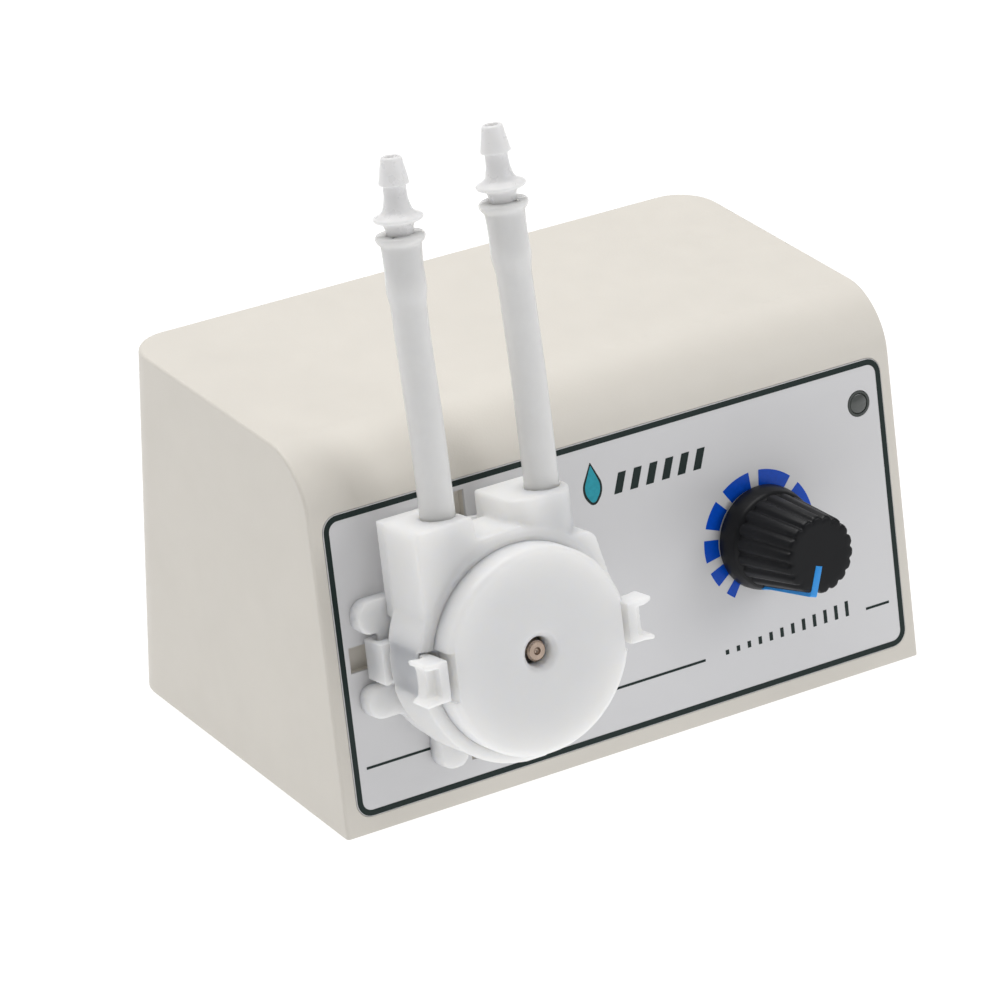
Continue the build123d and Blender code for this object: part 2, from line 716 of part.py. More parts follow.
def latch_room(side):
    """Groove in the housing for a latch and its two moulded pins."""
    half = latch_half_width + groove_gap
    room = block((groove_floor, 30), (-half, half), (skirt_front - 3, 30))
    pin = Rot(90, 0, 0) * round_bar(latch_pin_radius + running_gap, -half - latch_pin_length, half + latch_pin_length)
    room += Pos(latch_pivot_x, 0, latch_pivot_height) * pin
    return room if side > 0 else mirror(room, Plane.YZ)


def body_outline():
    """Front view of the housing: round, with a shoulder and the two tube blocks."""
    outline = Circle(body_radius)
    left, left_end = left_block
    outline += Pos((left + left_end) / 2, block_top / 2, 0) * Rectangle(left_end - left, block_top)
    right, right_end = right_block
    outline += Pos((left_end + right) / 2, valley_top / 2, 0) * Rectangle(right - left_end + 2, valley_top)
    shoulder = Polygon(
        (left_end, 0), (body_radius - 0.1, 1.8), (shoulder_reach + 0.9, 9.6),
        (shoulder_reach, shoulder_top), (left_end, shoulder_top), align=None,
    )
    corner = [v for v in shoulder.vertices() if v.Y > 9 and v.X > shoulder_reach - 0.1]
    return outline + fillet(corner, shoulder_radius)


def build_housing():
    """Housing with its round chamber, the two tube blocks and the latch grooves."""
    body = Pos(0, 0, skirt_front) * extrude(body_outline(), chamber_front - skirt_front)
    body = fillet(body.edges().group_by(Axis.Z)[-1], body_edge_radius)
    low = base_front + 0.05
    body += round_bar(skirt_radius, low, skirt_front)
    left, left_end = left_block
    right, right_end = right_block
    rear = block((left + 0.4, left_end), (6, block_top - 0.3), (low, skirt_front))
    tower = block((right, right_end), (6, block_top), (low, right_block_front))
    rims = tower.edges().filter_by(Axis.Y).group_by(Axis.Z)[-1]
    tower = fillet(rims, right_block_round)
    tower = fillet(tower.edges().group_by(Axis.Y)[-1], 0.4)
    body += rear + tower
    rim = ring(boss_ring_radius, chamber_radius, chamber_front - 0.5, chamber_front + boss_ring_height)
    body += rim
    body -= round_bar(chamber_radius, chamber_floor, chamber_front + 1)
    for x in (tube_left, tube_right):
        route = Pos(x, 0, tube_axis_height) * Rot(-90, 0, 0)
        body -= route * round_bar(tube_radius + tube_hole_gap, 0, block_top + 1)
    body -= round_bar(spigot_radius + sliding_gap, 0, base_front + spigot_height + 0.1)
    body -= round_bar(sleeve_radius + 0.6, 0, chamber_floor + 1)
    body -= round_bar(cover_radius + sliding_gap, chamber_front, chamber_front + 2)
    for side in (-1, 1):
        body -= latch_room(side)
    for angle in peg_angles:
        body -= Rot(0, 0, angle) * round_bar(peg_radius + press_gap, chamber_front - peg_length - 0.2, 20, peg_orbit)
    nodes["pump_housing"] = on_head * body


def build_cover():
    """Round front cover with a rounded rim, a centre hole and pegs into the housing."""
    low = chamber_front + 0.05
    cover = round_bar(cover_radius, low, cover_front)
    cover = fillet(cover.edges().group_by(Axis.Z)[-1], cover_rim_radius)
    cover -= round_bar(cover_radius - 3 * cover_wall, 0, cover_front - 2 * cover_wall)
    cover -= round_bar(cover_hole_radius, 0, cover_front + 1)
    sink = turned([
        (0, cover_front - 0.5),
        (cover_hole_radius, cover_front - 0.5),
        (cover_recess_radius, cover_front + 0.01),
        (0, cover_front + 0.01),
    ])
    cover -= sink
    for side in (-1, 1):
        flat = sorted((side * cover_notch_flat, side * 30))
        cover -= block(flat, (-cover_notch_half_width, cover_notch_half_width), (0, 30))
    for angle in peg_angles:
        cover += Rot(0, 0, angle) * round_bar(peg_radius, chamber_front - peg_length, low + 1, peg_orbit)
    nodes["pump_cover"] = on_head * cover


def build_rollers():
    """Roller carrier: two plates, their pins and the rollers that press the tube."""
    back_plate = chamber_floor + plate_gap
    front_plate = chamber_front - plate_gap - plate_thickness - 0.5
    spots = [360 / roller_count * index + 90 for index in range(roller_count)]
    for name, low in (("carrier_back_plate", back_plate), ("carrier_front_plate", front_plate)):
        plate = round_bar(plate_radius, low, low + plate_thickness)
        plate -= round_bar(sleeve_radius + 2 * sliding_gap, 0, 30)
        for spot in spots:
            plate -= Rot(0, 0, spot) * round_bar(roller_pin_radius + press_gap, 0, 30, roller_orbit)
        for spot in spots:
            bay = round_bar(1.9, 0, 30, plate_radius + 0.2)
            plate -= Rot(0, 0, spot + 180 / roller_count) * bay
        nodes[name] = on_head * plate
    pin = round_bar(roller_pin_radius, back_plate, front_plate + plate_thickness, roller_orbit)
    nodes["carrier_pins"] = on_head * Compound([Rot(0, 0, spot) * pin for spot in spots])
    low = back_plate + plate_thickness + 0.15
    high = front_plate - 0.15
    roller = ring(roller_radius - roller_gap, roller_pin_radius + running_gap, low, high)
    rims = [e for e in roller.edges() if e.geom_type == GeomType.CIRCLE and e.radius > 2]
    roller = fillet(rims, 0.4)
    for number, spot in enumerate(spots, 1):
        nodes[f"roller_{number}"] = on_head * (Rot(0, 0, spot) * Pos(roller_orbit, 0, 0) * roller)


def build_tube_loop():
    """Pump tube inside the head: round in the blocks and pressed flat along the track."""
    low = tube_axis_height - squashed_width / 2
    high = tube_axis_height + squashed_width / 2
    outer = chamber_radius - tube_wall_gap
    band = ring(outer, outer - squashed_thickness, low, high)
    reach = 3 * chamber_radius
    top_left, top_right = [
        (reach * math.cos(math.radians(angle)), reach * math.sin(math.radians(angle))) for angle in (130, 50)
    ]
    keep = [(0, 0), top_left, (-reach, -reach), (reach, -reach), top_right]
    loop = band & (Pos(0, 0, low - 1) * extrude(Polygon(*keep, align=None), squashed_width + 2))
    for x in (tube_left, tube_right):
        inner_side = abs(x) - tube_radius
        start = math.sqrt((outer - squashed_thickness) ** 2 - inner_side**2) + 0.1
        along = Pos(x, 0, tube_axis_height) * Rot(-90, 0, 0)
        loop += along * round_bar(tube_radius, start, block_top)
    for x in (tube_left, tube_right):
        along = Pos(x, 0, tube_axis_height) * Rot(-90, 0, 0)
        loop -= along * round_bar(tube_bore_radius, 11.0, block_top + 1)
    nodes["pump_tube"] = on_head * loop


def build_latches():
    """Two rocking latches that hook the housing onto the base."""
    half = latch_half_width
    arm = block((latch_inner, latch_outer), (-half, half), (hook_back, tab_back + 1.2))
    arm += block((latch_inner, hook_outer), (-half, half), (hook_back, skirt_front - 0.2))
    arm -= block((0, base_ledge_radius + hook_gap), (-9, 9), (0, base_front + 0.3))
    arm += block((hook_tip, hook_outer), (-half, half), (hook_back, hook_catch - 0.05))
    hub = Rot(90, 0, 0) * round_bar(latch_pin_radius + latch_hub_wall, -half, half)
    pins = Rot(90, 0, 0) * round_bar(latch_pin_radius, -half - latch_pin_length, half + latch_pin_length)
    pivot = Pos(latch_pivot_x, 0, latch_pivot_height)
    arm += pivot * hub
    arm += pivot * pins
    web = block((tab_inner, tab_reach), (-half, half), (tab_back, tab_back + 1.3))
    web -= round_bar(2.2, 0, 30, tab_reach + 1.5)
    arm += web
    arm += block((tab_inner, tab_inner + 1.4), (-half, half), (tab_back, tab_front))
    for side in (-1, 1):
        outline = Polygon(
            (tab_inner, side * half), (tab_ear_reach, side * (half + 0.25)),
            (tab_ear_reach, side * (half - 0.35)), (tab_ear_reach - 0.9, side * (half - tab_ear_width)),
            (tab_inner, side * (half - tab_ear_width)), align=None,
        )
        arm += Pos(0, 0, tab_back) * extrude(outline, tab_front - tab_back)
    nodes["latch_right"] = on_head * arm
    nodes["latch_left"] = on_head * mirror(arm, Plane.YZ)


# ---------------------------------------------------------------- free tubing
def barb_fitting():
    """Straight barbed connector along Z; its shoulder stands on the tube's end at height 0."""
    return turned([
        (fitting_bore, -barb_stem_length),
        (barb_stem_tip, -barb_stem_length),
        (barb_stem_radius, -barb_stem_length + stem_taper),
        (barb_stem_radius, collar_height / 2),
        (neck_foot_radius, collar_height - collar_rim),
        (collar_radius, collar_height),
        (collar_radius, collar_height + collar_rim),
        (neck_foot_radius, collar_height + 2.5 * collar_rim),
        (neck_radius, neck_height),
        (neck_radius, barb_height),
        (barb_radius, barb_height),
        (barb_tip_radius, barb_tip_height),
        (fitting_bore, barb_tip_height),
    ])


def build_free_tubes():
    """The two open lengths of tube above the head and the fittings in their ends."""
    tubes = (
        ("inlet", tube_left, inlet_length, inlet_lean),
        ("outlet", tube_right, outlet_length, outlet_lean),
    )
    for name, x, length, offsets in tubes:
        heights = (0.0, straight_run, middle_run, length)
        route = [
            head_point(x + dx, block_top + height, tube_axis_height + dh)
            for height, (dx, dh) in zip(heights, offsets)
        ]
        radii = corner_radii(route)
        path = FilletPolyline(*route, radius=radii)
        print(f"{name} tube: radii {[round(r, 1) for r in radii]}, length {path.length:.1f}")
        print(f"{name} route: {[tuple(round(c, 3) for c in point) for point in route]}")
        start = Plane(origin=path @ 0, z_dir=path % 0)
        finish = Plane(origin=path @ 1, z_dir=path % 1)
        tube = sweep(start * Circle(tube_radius), path=path)
        swell = turned([
            (0, -swell_length - swell_taper),
            (tube_radius - swell_start, -swell_length - swell_taper),
            (swell_radius, -swell_length),
            (swell_radius, -2 * flare_length),
            (flare_radius, -flare_lip),
            (flare_radius - flare_lip, 0),
            (0, 0),
        ])
        tube += finish.location * swell
        tube -= sweep(start * Circle(tube_bore_radius), path=path)
        stem = turned([
            (0, -barb_stem_length - press_gap),
            (barb_stem_tip + press_gap, -barb_stem_length - press_gap),
            (barb_stem_radius + press_gap, -barb_stem_length + stem_taper),
            (barb_stem_radius + press_gap, flare_lip),
            (0, flare_lip),
        ])
        nodes[f"{name}_tube"] = tube - finish.location * stem
        nodes[f"{name}_fitting"] = finish.location * barb_fitting()


# ---------------------------------------------------------------- whole pump
build_case()
build_electronics()
build_leads()
build_speed_control()
build_motor()
build_base()
build_housing()
build_cover()
build_rollers()
build_tube_loop()
build_latches()
build_free_tubes()

free_nodes = ("inlet_tube", "inlet_fitting", "outlet_tube", "outlet_fitting")
standing = Compound([shape for name, shape in nodes.items() if name not in free_nodes])
box = standing.bounding_box()
centring = Pos(-(box.min.X + box.max.X) / 2, -(box.min.Y + box.max.Y) / 2, -box.min.Z)

os.makedirs("parts", exist_ok=True)
for name, shape in nodes.items():
    export_step(centring * shape, f"parts/{name}.step")
print("origin shift", centring.position)
print("head axis at", centring.position + Vector(*head_point(0, 0, 0)))
print("knob axis at", centring.position + Vector(*face_point(knob_across, control_up, 0)))
for side in (-1, 1):
    print("latch pivot at", centring.position + Vector(*head_point(side * latch_pivot_x, 0, latch_pivot_height)))
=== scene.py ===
"""Looks of a small dosing pump: sloped case, printed front, knob, clip-on roller head and tubes.

Lengths in the piece classes are millimetres in a local frame: x across the front, y up its slope,
z out of it.
"""

from __future__ import annotations

import json
import logging
import math
from dataclasses import dataclass, field
from enum import Enum
from typing import Iterable, Sequence

import bmesh
import bpy
from mathutils import Matrix, Vector


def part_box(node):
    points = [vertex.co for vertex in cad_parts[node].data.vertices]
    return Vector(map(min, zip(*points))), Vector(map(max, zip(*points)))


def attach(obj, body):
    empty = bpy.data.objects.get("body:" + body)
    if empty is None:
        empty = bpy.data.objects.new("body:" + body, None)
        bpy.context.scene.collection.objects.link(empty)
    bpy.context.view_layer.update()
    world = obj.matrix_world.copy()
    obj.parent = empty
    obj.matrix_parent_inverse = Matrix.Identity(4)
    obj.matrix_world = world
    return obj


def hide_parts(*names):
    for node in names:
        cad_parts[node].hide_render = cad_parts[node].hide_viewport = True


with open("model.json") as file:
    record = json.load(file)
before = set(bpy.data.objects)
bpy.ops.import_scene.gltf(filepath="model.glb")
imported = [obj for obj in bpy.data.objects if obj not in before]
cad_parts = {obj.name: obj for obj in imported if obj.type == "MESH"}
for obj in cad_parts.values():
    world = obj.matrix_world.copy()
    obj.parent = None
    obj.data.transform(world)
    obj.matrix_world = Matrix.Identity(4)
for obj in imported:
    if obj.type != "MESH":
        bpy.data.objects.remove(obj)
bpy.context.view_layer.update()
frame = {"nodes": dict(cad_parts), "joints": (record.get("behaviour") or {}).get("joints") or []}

MM = 0.001
Colour = tuple[float, float, float]
Point = tuple[float, float]
Mesh = bmesh.types.BMesh
Edge = bmesh.types.BMEdge
Vert = bmesh.types.BMVert
Face = bmesh.types.BMFace
Piece = bpy.types.Object
Socket = bpy.types.NodeSocket
Corner = tuple[float, ...]
log = logging.getLogger("dosing_pump")


class Body(Enum):
    """The bodies of the frame that new pieces ride on."""

    CASE = "case"
    KNOB = "speed_knob"
    LATCH_RIGHT = "latch_right"
    LATCH_LEFT = "latch_left"


class Slot(Enum):
    """Material slots of the record; no piece in this script is given one, as finishes come from FINISHES by
    name.
    """

    CASE = "case_plastic"
    PRINT = "front_print"
    HEAD = "head_plastic"
    TUBE = "tube_silicone"
    FITTING = "fitting_plastic"
    KNOB = "knob_plastic"
    POINTER = "pointer_plastic"
    LENS = "led_lens"


# ---------------------------------------------------------------- finishes
class Surface:
    """Node tree of one material, with the few node patterns that the finishes share."""

    def __init__(self, name: str, colour: Colour, roughness: float) -> None:
        """Start a material with a Principled shader.

        Args:
            name: the material's name.
            colour: linear base colour.
            roughness: roughness of the whole surface.
        """
        self.material = bpy.data.materials.new(name)
        self.material.use_nodes = True
        self.nodes = self.material.node_tree.nodes
        self.links = self.material.node_tree.links
        self.shader = self.nodes["Principled BSDF"]
        self.shader.inputs["Base Color"].default_value = (*colour, 1)
        self.shader.inputs["Roughness"].default_value = roughness
        self.place = self.nodes.new("ShaderNodeTexCoord").outputs["Object"]

    def set(self, **values: float | Corner) -> "Surface":
        """Set shader sockets by name, with underscores for spaces."""
        for name, value in values.items():
            self.shader.inputs[name.replace("_", " ")].default_value = value
        return self

    def noise(self, size_mm: float, detail: float = 3.0, stretch: Corner = (1, 1, 1)) -> Socket:
        """Noise whose blotches are about a given size.

        Args:
            size_mm: size of a blotch.
            detail: octaves of finer noise.
            stretch: how much denser the noise is along each axis.

        Returns:
            The noise's grey output.
        """
        mapping = self.nodes.new("ShaderNodeMapping")
        mapping.inputs["Scale"].default_value = tuple(stretch)
        self.links.new(self.place, mapping.inputs["Vector"])
        noise = self.nodes.new("ShaderNodeTexNoise")
        noise.inputs["Scale"].default_value = 1 / (size_mm * MM)
        noise.inputs["Detail"].default_value = detail
        self.links.new(mapping.outputs["Vector"], noise.inputs["Vector"])
        return noise.outputs["Fac"]

    def spread(self, value: Socket, low: float, high: float) -> Socket:
        """Map a grey value of about 0.3 to 0.7 onto a range.

        Args:
            value: grey socket.
            low: result at 0.3.
            high: result at 0.7.

        Returns:
            The mapped socket.
        """
        node = self.nodes.new("ShaderNodeMapRange")
        for name, number in (("From Min", 0.3), ("From Max", 0.7), ("To Min", low), ("To Max", high)):
            node.inputs[name].default_value = number
        self.links.new(value, node.inputs["Value"])
        return node.outputs["Result"]

    def mottle(self, size_mm: float, colour: Colour, amount: float) -> "Surface":
        """Vary the base colour gently between a darker and a lighter tone.

        Args:
            size_mm: size of a blotch.
            colour: middle tone.
            amount: share by which the tones differ from it.

        Returns:
            This surface.
        """
        ramp = self.nodes.new("ShaderNodeValToRGB")
        ramp.color_ramp.elements[0].position = 0.3
        ramp.color_ramp.elements[1].position = 0.7
        for element, share in zip(ramp.color_ramp.elements, (1 - amount, 1 + amount)):
            element.color = (*(min(1.0, c * share) for c in colour), 1)
        self.links.new(self.noise(size_mm), ramp.inputs["Fac"])
        self.links.new(ramp.outputs["Color"], self.shader.inputs["Base Color"])
        return self

    def uneven_gloss(self, size_mm: float, low: float, high: float) -> "Surface":
        """Vary the roughness between two values."""
        self.links.new(self.spread(self.noise(size_mm), low, high), self.shader.inputs["Roughness"])
        return self

    def relief(self, height: Socket, depth_mm: float, strength: float = 1.0) -> "Surface":
        """Raise the surface by a grey value.

        Args:
            height: grey socket.
            depth_mm: height of the relief at full grey.
            strength: how strongly it shades.

        Returns:
            This surface.
        """
        bump = self.nodes.new("ShaderNodeBump")
        bump.inputs["Distance"].default_value = depth_mm * MM
        bump.inputs["Strength"].default_value = strength
        self.links.new(height, bump.inputs["Height"])
        before = self.shader.inputs["Normal"].links
        if before:
            self.links.new(before[0].from_socket, bump.inputs["Normal"])
        self.links.new(bump.outputs["Normal"], self.shader.inputs["Normal"])
        return self


@dataclass(frozen=True)
class MouldedPlastic:
    """Opaque or slightly see-through moulding with a fine spark texture."""

    name: str
    colour: Colour
    roughness: float = 0.45
    grain_mm: float = 0.22
    grain_depth_mm: float = 0.012
    mottle: float = 0.02
    scatter: float = 0.0
    scatter_mm: float = 2.0
    coat: float = 0.0
    specular: float = 0.5

    def build(self) -> bpy.types.Material:
        """Make the material."""
        surface = Surface(self.name, self.colour, self.roughness)
        surface.mottle(9.0, self.colour, self.mottle)
        surface.uneven_gloss(3.0, self.roughness - 0.05, self.roughness + 0.05)
        surface.relief(surface.noise(self.grain_mm, 2.0), self.grain_depth_mm)
        surface.relief(surface.noise(14.0, 1.0), 0.05, 0.5)
        surface.set(IOR=1.49, Coat_Weight=self.coat, Coat_Roughness=0.2, Specular_IOR_Level=self.specular)
        if self.scatter:
            surface.set(Subsurface_Weight=self.scatter, Subsurface_Scale=self.scatter_mm * MM)
            surface.set(Subsurface_Radius=(1.0, 0.95, 0.85))
        return surface.material


@dataclass(frozen=True)
class Silicone:
    """Cloudy see-through tube or fitting."""

    name: str
    colour: Colour
    roughness: float
    clear: float
    scatter_mm: float = 1.5

    def build(self) -> bpy.types.Material:
        """Make the material."""
        surface = Surface(self.name, self.colour, self.roughness)
        surface.mottle(2.5, self.colour, 0.015)
        surface.uneven_gloss(1.5, self.roughness - 0.05, self.roughness + 0.05)
        surface.relief(surface.noise(6.0, 1.0, (1, 1, 0.15)), 0.004, 0.3)
        surface.set(IOR=1.38, Transmission_Weight=self.clear)
        surface.set(Subsurface_Weight=0.6, Subsurface_Scale=self.scatter_mm * MM)
        surface.set(Subsurface_Radius=(1.0, 0.98, 0.92))
        return surface.material


@dataclass(frozen=True)
class Ink:
    """Screen-printed ink with the faint unevenness of its mesh."""

    name: str
    colour: Colour
    roughness: float = 0.35

    def build(self) -> bpy.types.Material:
        """Make the material."""
        surface = Surface(self.name, self.colour, self.roughness)
        surface.mottle(0.5, self.colour, 0.08)
        surface.relief(surface.noise(0.15, 1.0), 0.002)
        surface.set(Specular_IOR_Level=0.25)
        return surface.material


@dataclass(frozen=True)
class Metal:
    """Metal with drawn or turned scratches along one axis."""

    name: str
    colour: Colour
    roughness: float = 0.3
    grain: tuple[float, float, float] = (1.0, 12.0, 12.0)
    metallic: float = 1.0

    def build(self) -> bpy.types.Material:
        """Make the material."""
        surface = Surface(self.name, self.colour, self.roughness)
        surface.mottle(2.0, self.colour, 0.08)
        lines = surface.noise(1.5, 4.0, self.grain)
        surface.links.new(
            surface.spread(lines, self.roughness - 0.1, self.roughness + 0.12),
            surface.shader.inputs["Roughness"],
        )
        surface.relief(lines, 0.006, 0.7)
        surface.set(Metallic=self.metallic)
        return surface.material


@dataclass(frozen=True)
class CircuitBoard:
    """Green solder mask over a faint grid of tracks."""

    name: str = "solder_mask"
    mask: Colour = (0.01, 0.10, 0.045)
    track: Colour = (0.03, 0.20, 0.08)

    def build(self) -> bpy.types.Material:
        """Make the material."""
        surface = Surface(self.name, self.mask, 0.3)
        bricks = surface.nodes.new("ShaderNodeTexBrick")
        bricks.inputs["Scale"].default_value = 1.0
        bricks.inputs["Brick Width"].default_value = 5.1 * MM
        bricks.inputs["Row Height"].default_value = 2.54 * MM
        bricks.inputs["Mortar Size"].default_value = 0.25 * MM
        bricks.inputs["Color1"].default_value = (*self.mask, 1)
        bricks.inputs["Color2"].default_value = (*self.mask, 1)
        bricks.inputs["Mortar"].default_value = (*self.track, 1)
        surface.links.new(surface.place, bricks.inputs["Vector"])
        surface.links.new(bricks.outputs["Color"], surface.shader.inputs["Base Color"])
        surface.relief(bricks.outputs["Fac"], 0.03, 0.5)
        surface.relief(surface.noise(0.6), 0.01)
        return surface.material


FINISHES: dict[str, MouldedPlastic | Silicone | Ink | Metal | CircuitBoard] = {
    "case": MouldedPlastic("ivory_case", (0.745, 0.712, 0.652), 0.5, 0.3, 0.014, 0.012, 0.06, 1.0),
    "sheet": MouldedPlastic("front_sheet_white", (0.70, 0.70, 0.715), 0.36, 0.18, 0.004, 0.008, coat=0.2),
    "dark_ink": Ink("green_black_ink", (0.006, 0.018, 0.016)),
    "blue_ink": Ink("dial_blue_ink", (0.0, 0.075, 0.56)),
    "accent_ink": Ink("aqua_ink", (0.02, 0.33, 0.42)),
    "head": MouldedPlastic("milky_head", (0.87, 0.868, 0.86), 0.42, 0.35, 0.006, 0.008, 1.0, 6.0),
    "tube": Silicone("cloudy_silicone", (0.99, 0.985, 0.965), 0.2, 0.12, 3.0),
    "fitting": Silicone("cloudy_fitting", (0.98, 0.975, 0.98), 0.3, 0.08, 2.5),
    "knob": MouldedPlastic("charcoal_knob", (0.006, 0.0065, 0.008), 0.36, 0.25, 0.012, 0.1, specular=0.2),
    "pointer": MouldedPlastic("azure_pointer", (0.015, 0.30, 0.80), 0.35, 0.3, 0.006, 0.03, 0.2, 0.6),
    "lens": MouldedPlastic("smoky_lens", (0.07, 0.078, 0.074), 0.2, 1.0, 0.01, 0.12, 0.4, 1.0, 0.4),
    "lens_rim": MouldedPlastic("lens_rim", (0.05, 0.06, 0.055), 0.35),
    "shaft": Metal("ground_shaft", (0.42, 0.33, 0.27), 0.3, (6, 6, 1)),
    "screw": Metal("zinc_screw", (0.58, 0.59, 0.60), 0.32, (3, 3, 10)),
    "nickel": Metal("nickel_nut", (0.68, 0.66, 0.62), 0.22, (8, 8, 1)),
    "tinned": Metal("tinned_steel", (0.66, 0.67, 0.68), 0.28, (1, 10, 1)),
    "brass": Metal("brass_tag", (0.66, 0.46, 0.18), 0.3, (1, 10, 1)),
    "can": Metal("drawn_can", (0.55, 0.55, 0.54), 0.28, (1, 14, 14)),
    "aluminium": Metal("pressed_aluminium", (0.72, 0.72, 0.73), 0.3, (1, 10, 10)),
    "magnet": Metal("ferrite", (0.05, 0.05, 0.05), 0.6, (2, 2, 2), 0.0),
    "board": CircuitBoard(),
    "sleeve": MouldedPlastic("capacitor_sleeve", (0.01, 0.012, 0.05), 0.25, 0.5, 0.01, 0.1, coat=0.3),
    "black": MouldedPlastic("black_moulding", (0.018, 0.018, 0.018), 0.4, 0.2, 0.015, 0.15),
    "nylon": MouldedPlastic("natural_nylon", (0.72, 0.69, 0.6), 0.4, 0.4, 0.01, 0.03, 0.3, 1.0),
    "lead": MouldedPlastic("lead_insulation", (0.35, 0.015, 0.012), 0.35, 0.3, 0.01, 0.1, coat=0.2),
    "acetal": MouldedPlastic("natural_acetal", (0.80, 0.80, 0.77), 0.3, 0.5, 0.008, 0.02, 0.4, 1.5),
    "rubber": MouldedPlastic("soft_rubber", (0.02, 0.02, 0.02), 0.7, 0.25, 0.03, 0.2),
}

CAD_FINISHES: dict[str, tuple[str, ...]] = {
    "case": ("bottom_cover",),
    "screw": ("cover_screws", "motor_screws"),
    "rubber": ("rubber_feet",),
    "board": ("control_board",),
    "sleeve": ("filter_capacitor",),
    "black": ("driver_chip", "power_jack", "control_shaft", "motor_end_cap"),
    "nylon": ("motor_connector", "power_connector"),
    "tinned": ("led_leads", "power_jack_pin", "power_jack_tags", "potentiometer_pins"),
    "nickel": ("power_jack_nut", "control_washer", "control_nut"),
    "lead": ("motor_leads", "power_leads"),
    "aluminium": ("potentiometer",),
    "can": ("motor_can", "motor_armature"),
    "brass": ("motor_terminals",),
    "magnet": ("motor_magnets",),
    "shaft": ("motor_shaft", "drive_sleeve", "carrier_pins"),
    "head": ("carrier_back_plate", "carrier_front_plate"),
    "acetal": ("roller_1", "roller_2", "roller_3"),
    "tube": ("pump_tube",),
}


class Paint:
    """Builds each finish once and hands it out."""

    def __init__(self) -> None:
        """Start with nothing built."""
        self._made: dict[str, bpy.types.Material] = {}

    def get(self, name: str) -> bpy.types.Material:
        """The material of a named finish."""
        if name not in self._made:
            self._made[name] = FINISHES[name].build()
        return self._made[name]


paint = Paint()


# ---------------------------------------------------------------- places taken from the frame
def outward_place(origin: Vector, normal: Vector) -> Matrix:
    """Matrix from local millimetres to the row frame.

    Args:
        origin: the local origin, in metres.
        normal: the local z axis.

    Returns:
        The matrix, with x along the row's x and y up the slope.
    """
    across = Vector((1, 0, 0))
    up = normal.cross(across)
    place = Matrix((across, up, normal)).transposed().to_4x4()
    place.translation = origin
    return place @ Matrix.Scale(MM, 4)


def joint(name: str) -> dict:
    """The frame's joint of that name."""
    return next(j for j in frame["joints"] if j["name"] == name)


@dataclass(frozen=True)
class Places:
    """Local frames of the front, the head and the knob, worked out from the frame's joints and boxes."""

    joint_height: float = 9.3
    knob_joint_height: float = 8.0

    @property
    def normal(self) -> Vector:
        """Outward normal of the sloped front."""
        return Vector(joint("motor_spin")["axis"]).normalized()

    def front(self) -> Matrix:
        """Front, measured from the case's lower left corner."""
        return outward_place(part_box("enclosure_shell")[0], self.normal)

    def head(self) -> Matrix:
        """Pump head, on the motor's axis."""
        origin = Vector(joint("motor_spin")["pos_m"]) - self.normal * self.joint_height * MM
        return outward_place(origin, self.normal)

    def knob(self) -> Matrix:
        """Knob, on its own axis."""
        origin = Vector(joint("knob_turn")["pos_m"]) - self.normal * self.knob_joint_height * MM
        return outward_place(origin, self.normal)

    def on_front(self, place: Matrix) -> Vector:
        """A local frame's origin, in millimetres on the front."""
        return self.front().inverted() @ place.translation


places = Places()


# ---------------------------------------------------------------- shapes
def rounded_face(mesh: Mesh, corners: Sequence[Corner], steps: int = 6) -> Face:
    """Flat face with rounded corners.

    Args:
        mesh: mesh that the face is added to.
        corners: x, y and an optional rounding for each corner, in order.
        steps: segments of each rounding.

    Returns:
        The face.
    """
    points = [mesh.verts.new((c[0], c[1], 0)) for c in corners]
    mesh.faces.new(points)
    for vert, corner in zip(points, corners):
        if len(corner) > 2 and corner[2] > 0:
            bmesh.ops.bevel(
                mesh, geom=[vert], offset=corner[2], offset_type="OFFSET", segments=steps,
                profile=0.5, affect="VERTICES", material=-1, clamp_overlap=True,
            )
    mesh.faces.ensure_lookup_table()
    return mesh.faces[-1]


def prism(
    corners: Sequence[Corner], low: float, high: float, rim: float = 0.0, steps: int = 6
) -> Mesh:
    """Outline pulled up from one height to another.

    Args:
        corners: outline, as for rounded_face.
        low: height of the bottom.
        high: height of the top.
        rim: rounding of the top and bottom rims.
        steps: segments of the roundings.

    Returns:
        A closed mesh.
    """
    mesh = bmesh.new()
    face = rounded_face(mesh, corners, steps)
    bmesh.ops.translate(mesh, verts=mesh.verts[:], vec=(0, 0, low))
    top = bmesh.ops.extrude_face_region(mesh, geom=[face])["geom"]
    moved = [g for g in top if isinstance(g, Vert)]
    bmesh.ops.translate(mesh, verts=moved, vec=(0, 0, high - low))
    if not any(f.normal.z < -0.5 for f in mesh.faces):
        lower = [e for e in mesh.edges if e.is_boundary]
        if lower:
            bmesh.ops.holes_fill(mesh, edges=lower, sides=0)
    bmesh.ops.recalc_face_normals(mesh, faces=mesh.faces[:])
    if rim:
        flat = [e for e in mesh.edges if abs(e.verts[0].co.z - e.verts[1].co.z) < 1e-6]
        rims = [e for e in flat if any(abs(f.normal.z) > 0.9 for f in e.link_faces)]
        rims = [e for e in rims if any(abs(f.normal.z) < 0.5 for f in e.link_faces)]
        soften_edges(mesh, rims, rim, 3)
    return mesh


def raise_faces(mesh: Mesh, height: float) -> None:
    """Give a flat mesh a thickness along z, with its faces outwards."""
    grown = bmesh.ops.extrude_face_region(mesh, geom=mesh.faces[:])["geom"]
    lifted = [g for g in grown if isinstance(g, Vert)]
    bmesh.ops.translate(mesh, verts=lifted, vec=(0, 0, height))
    bmesh.ops.recalc_face_normals(mesh, faces=mesh.faces[:])


def soften_edges(mesh: Mesh, edges: Iterable[Edge], size: float, steps: int = 3) -> None:
    """Round the given edges."""
    bmesh.ops.bevel(
        mesh, geom=list(edges), offset=size, offset_type="OFFSET", segments=steps,
        profile=0.5, affect="EDGES", material=-1, clamp_overlap=True,
    )


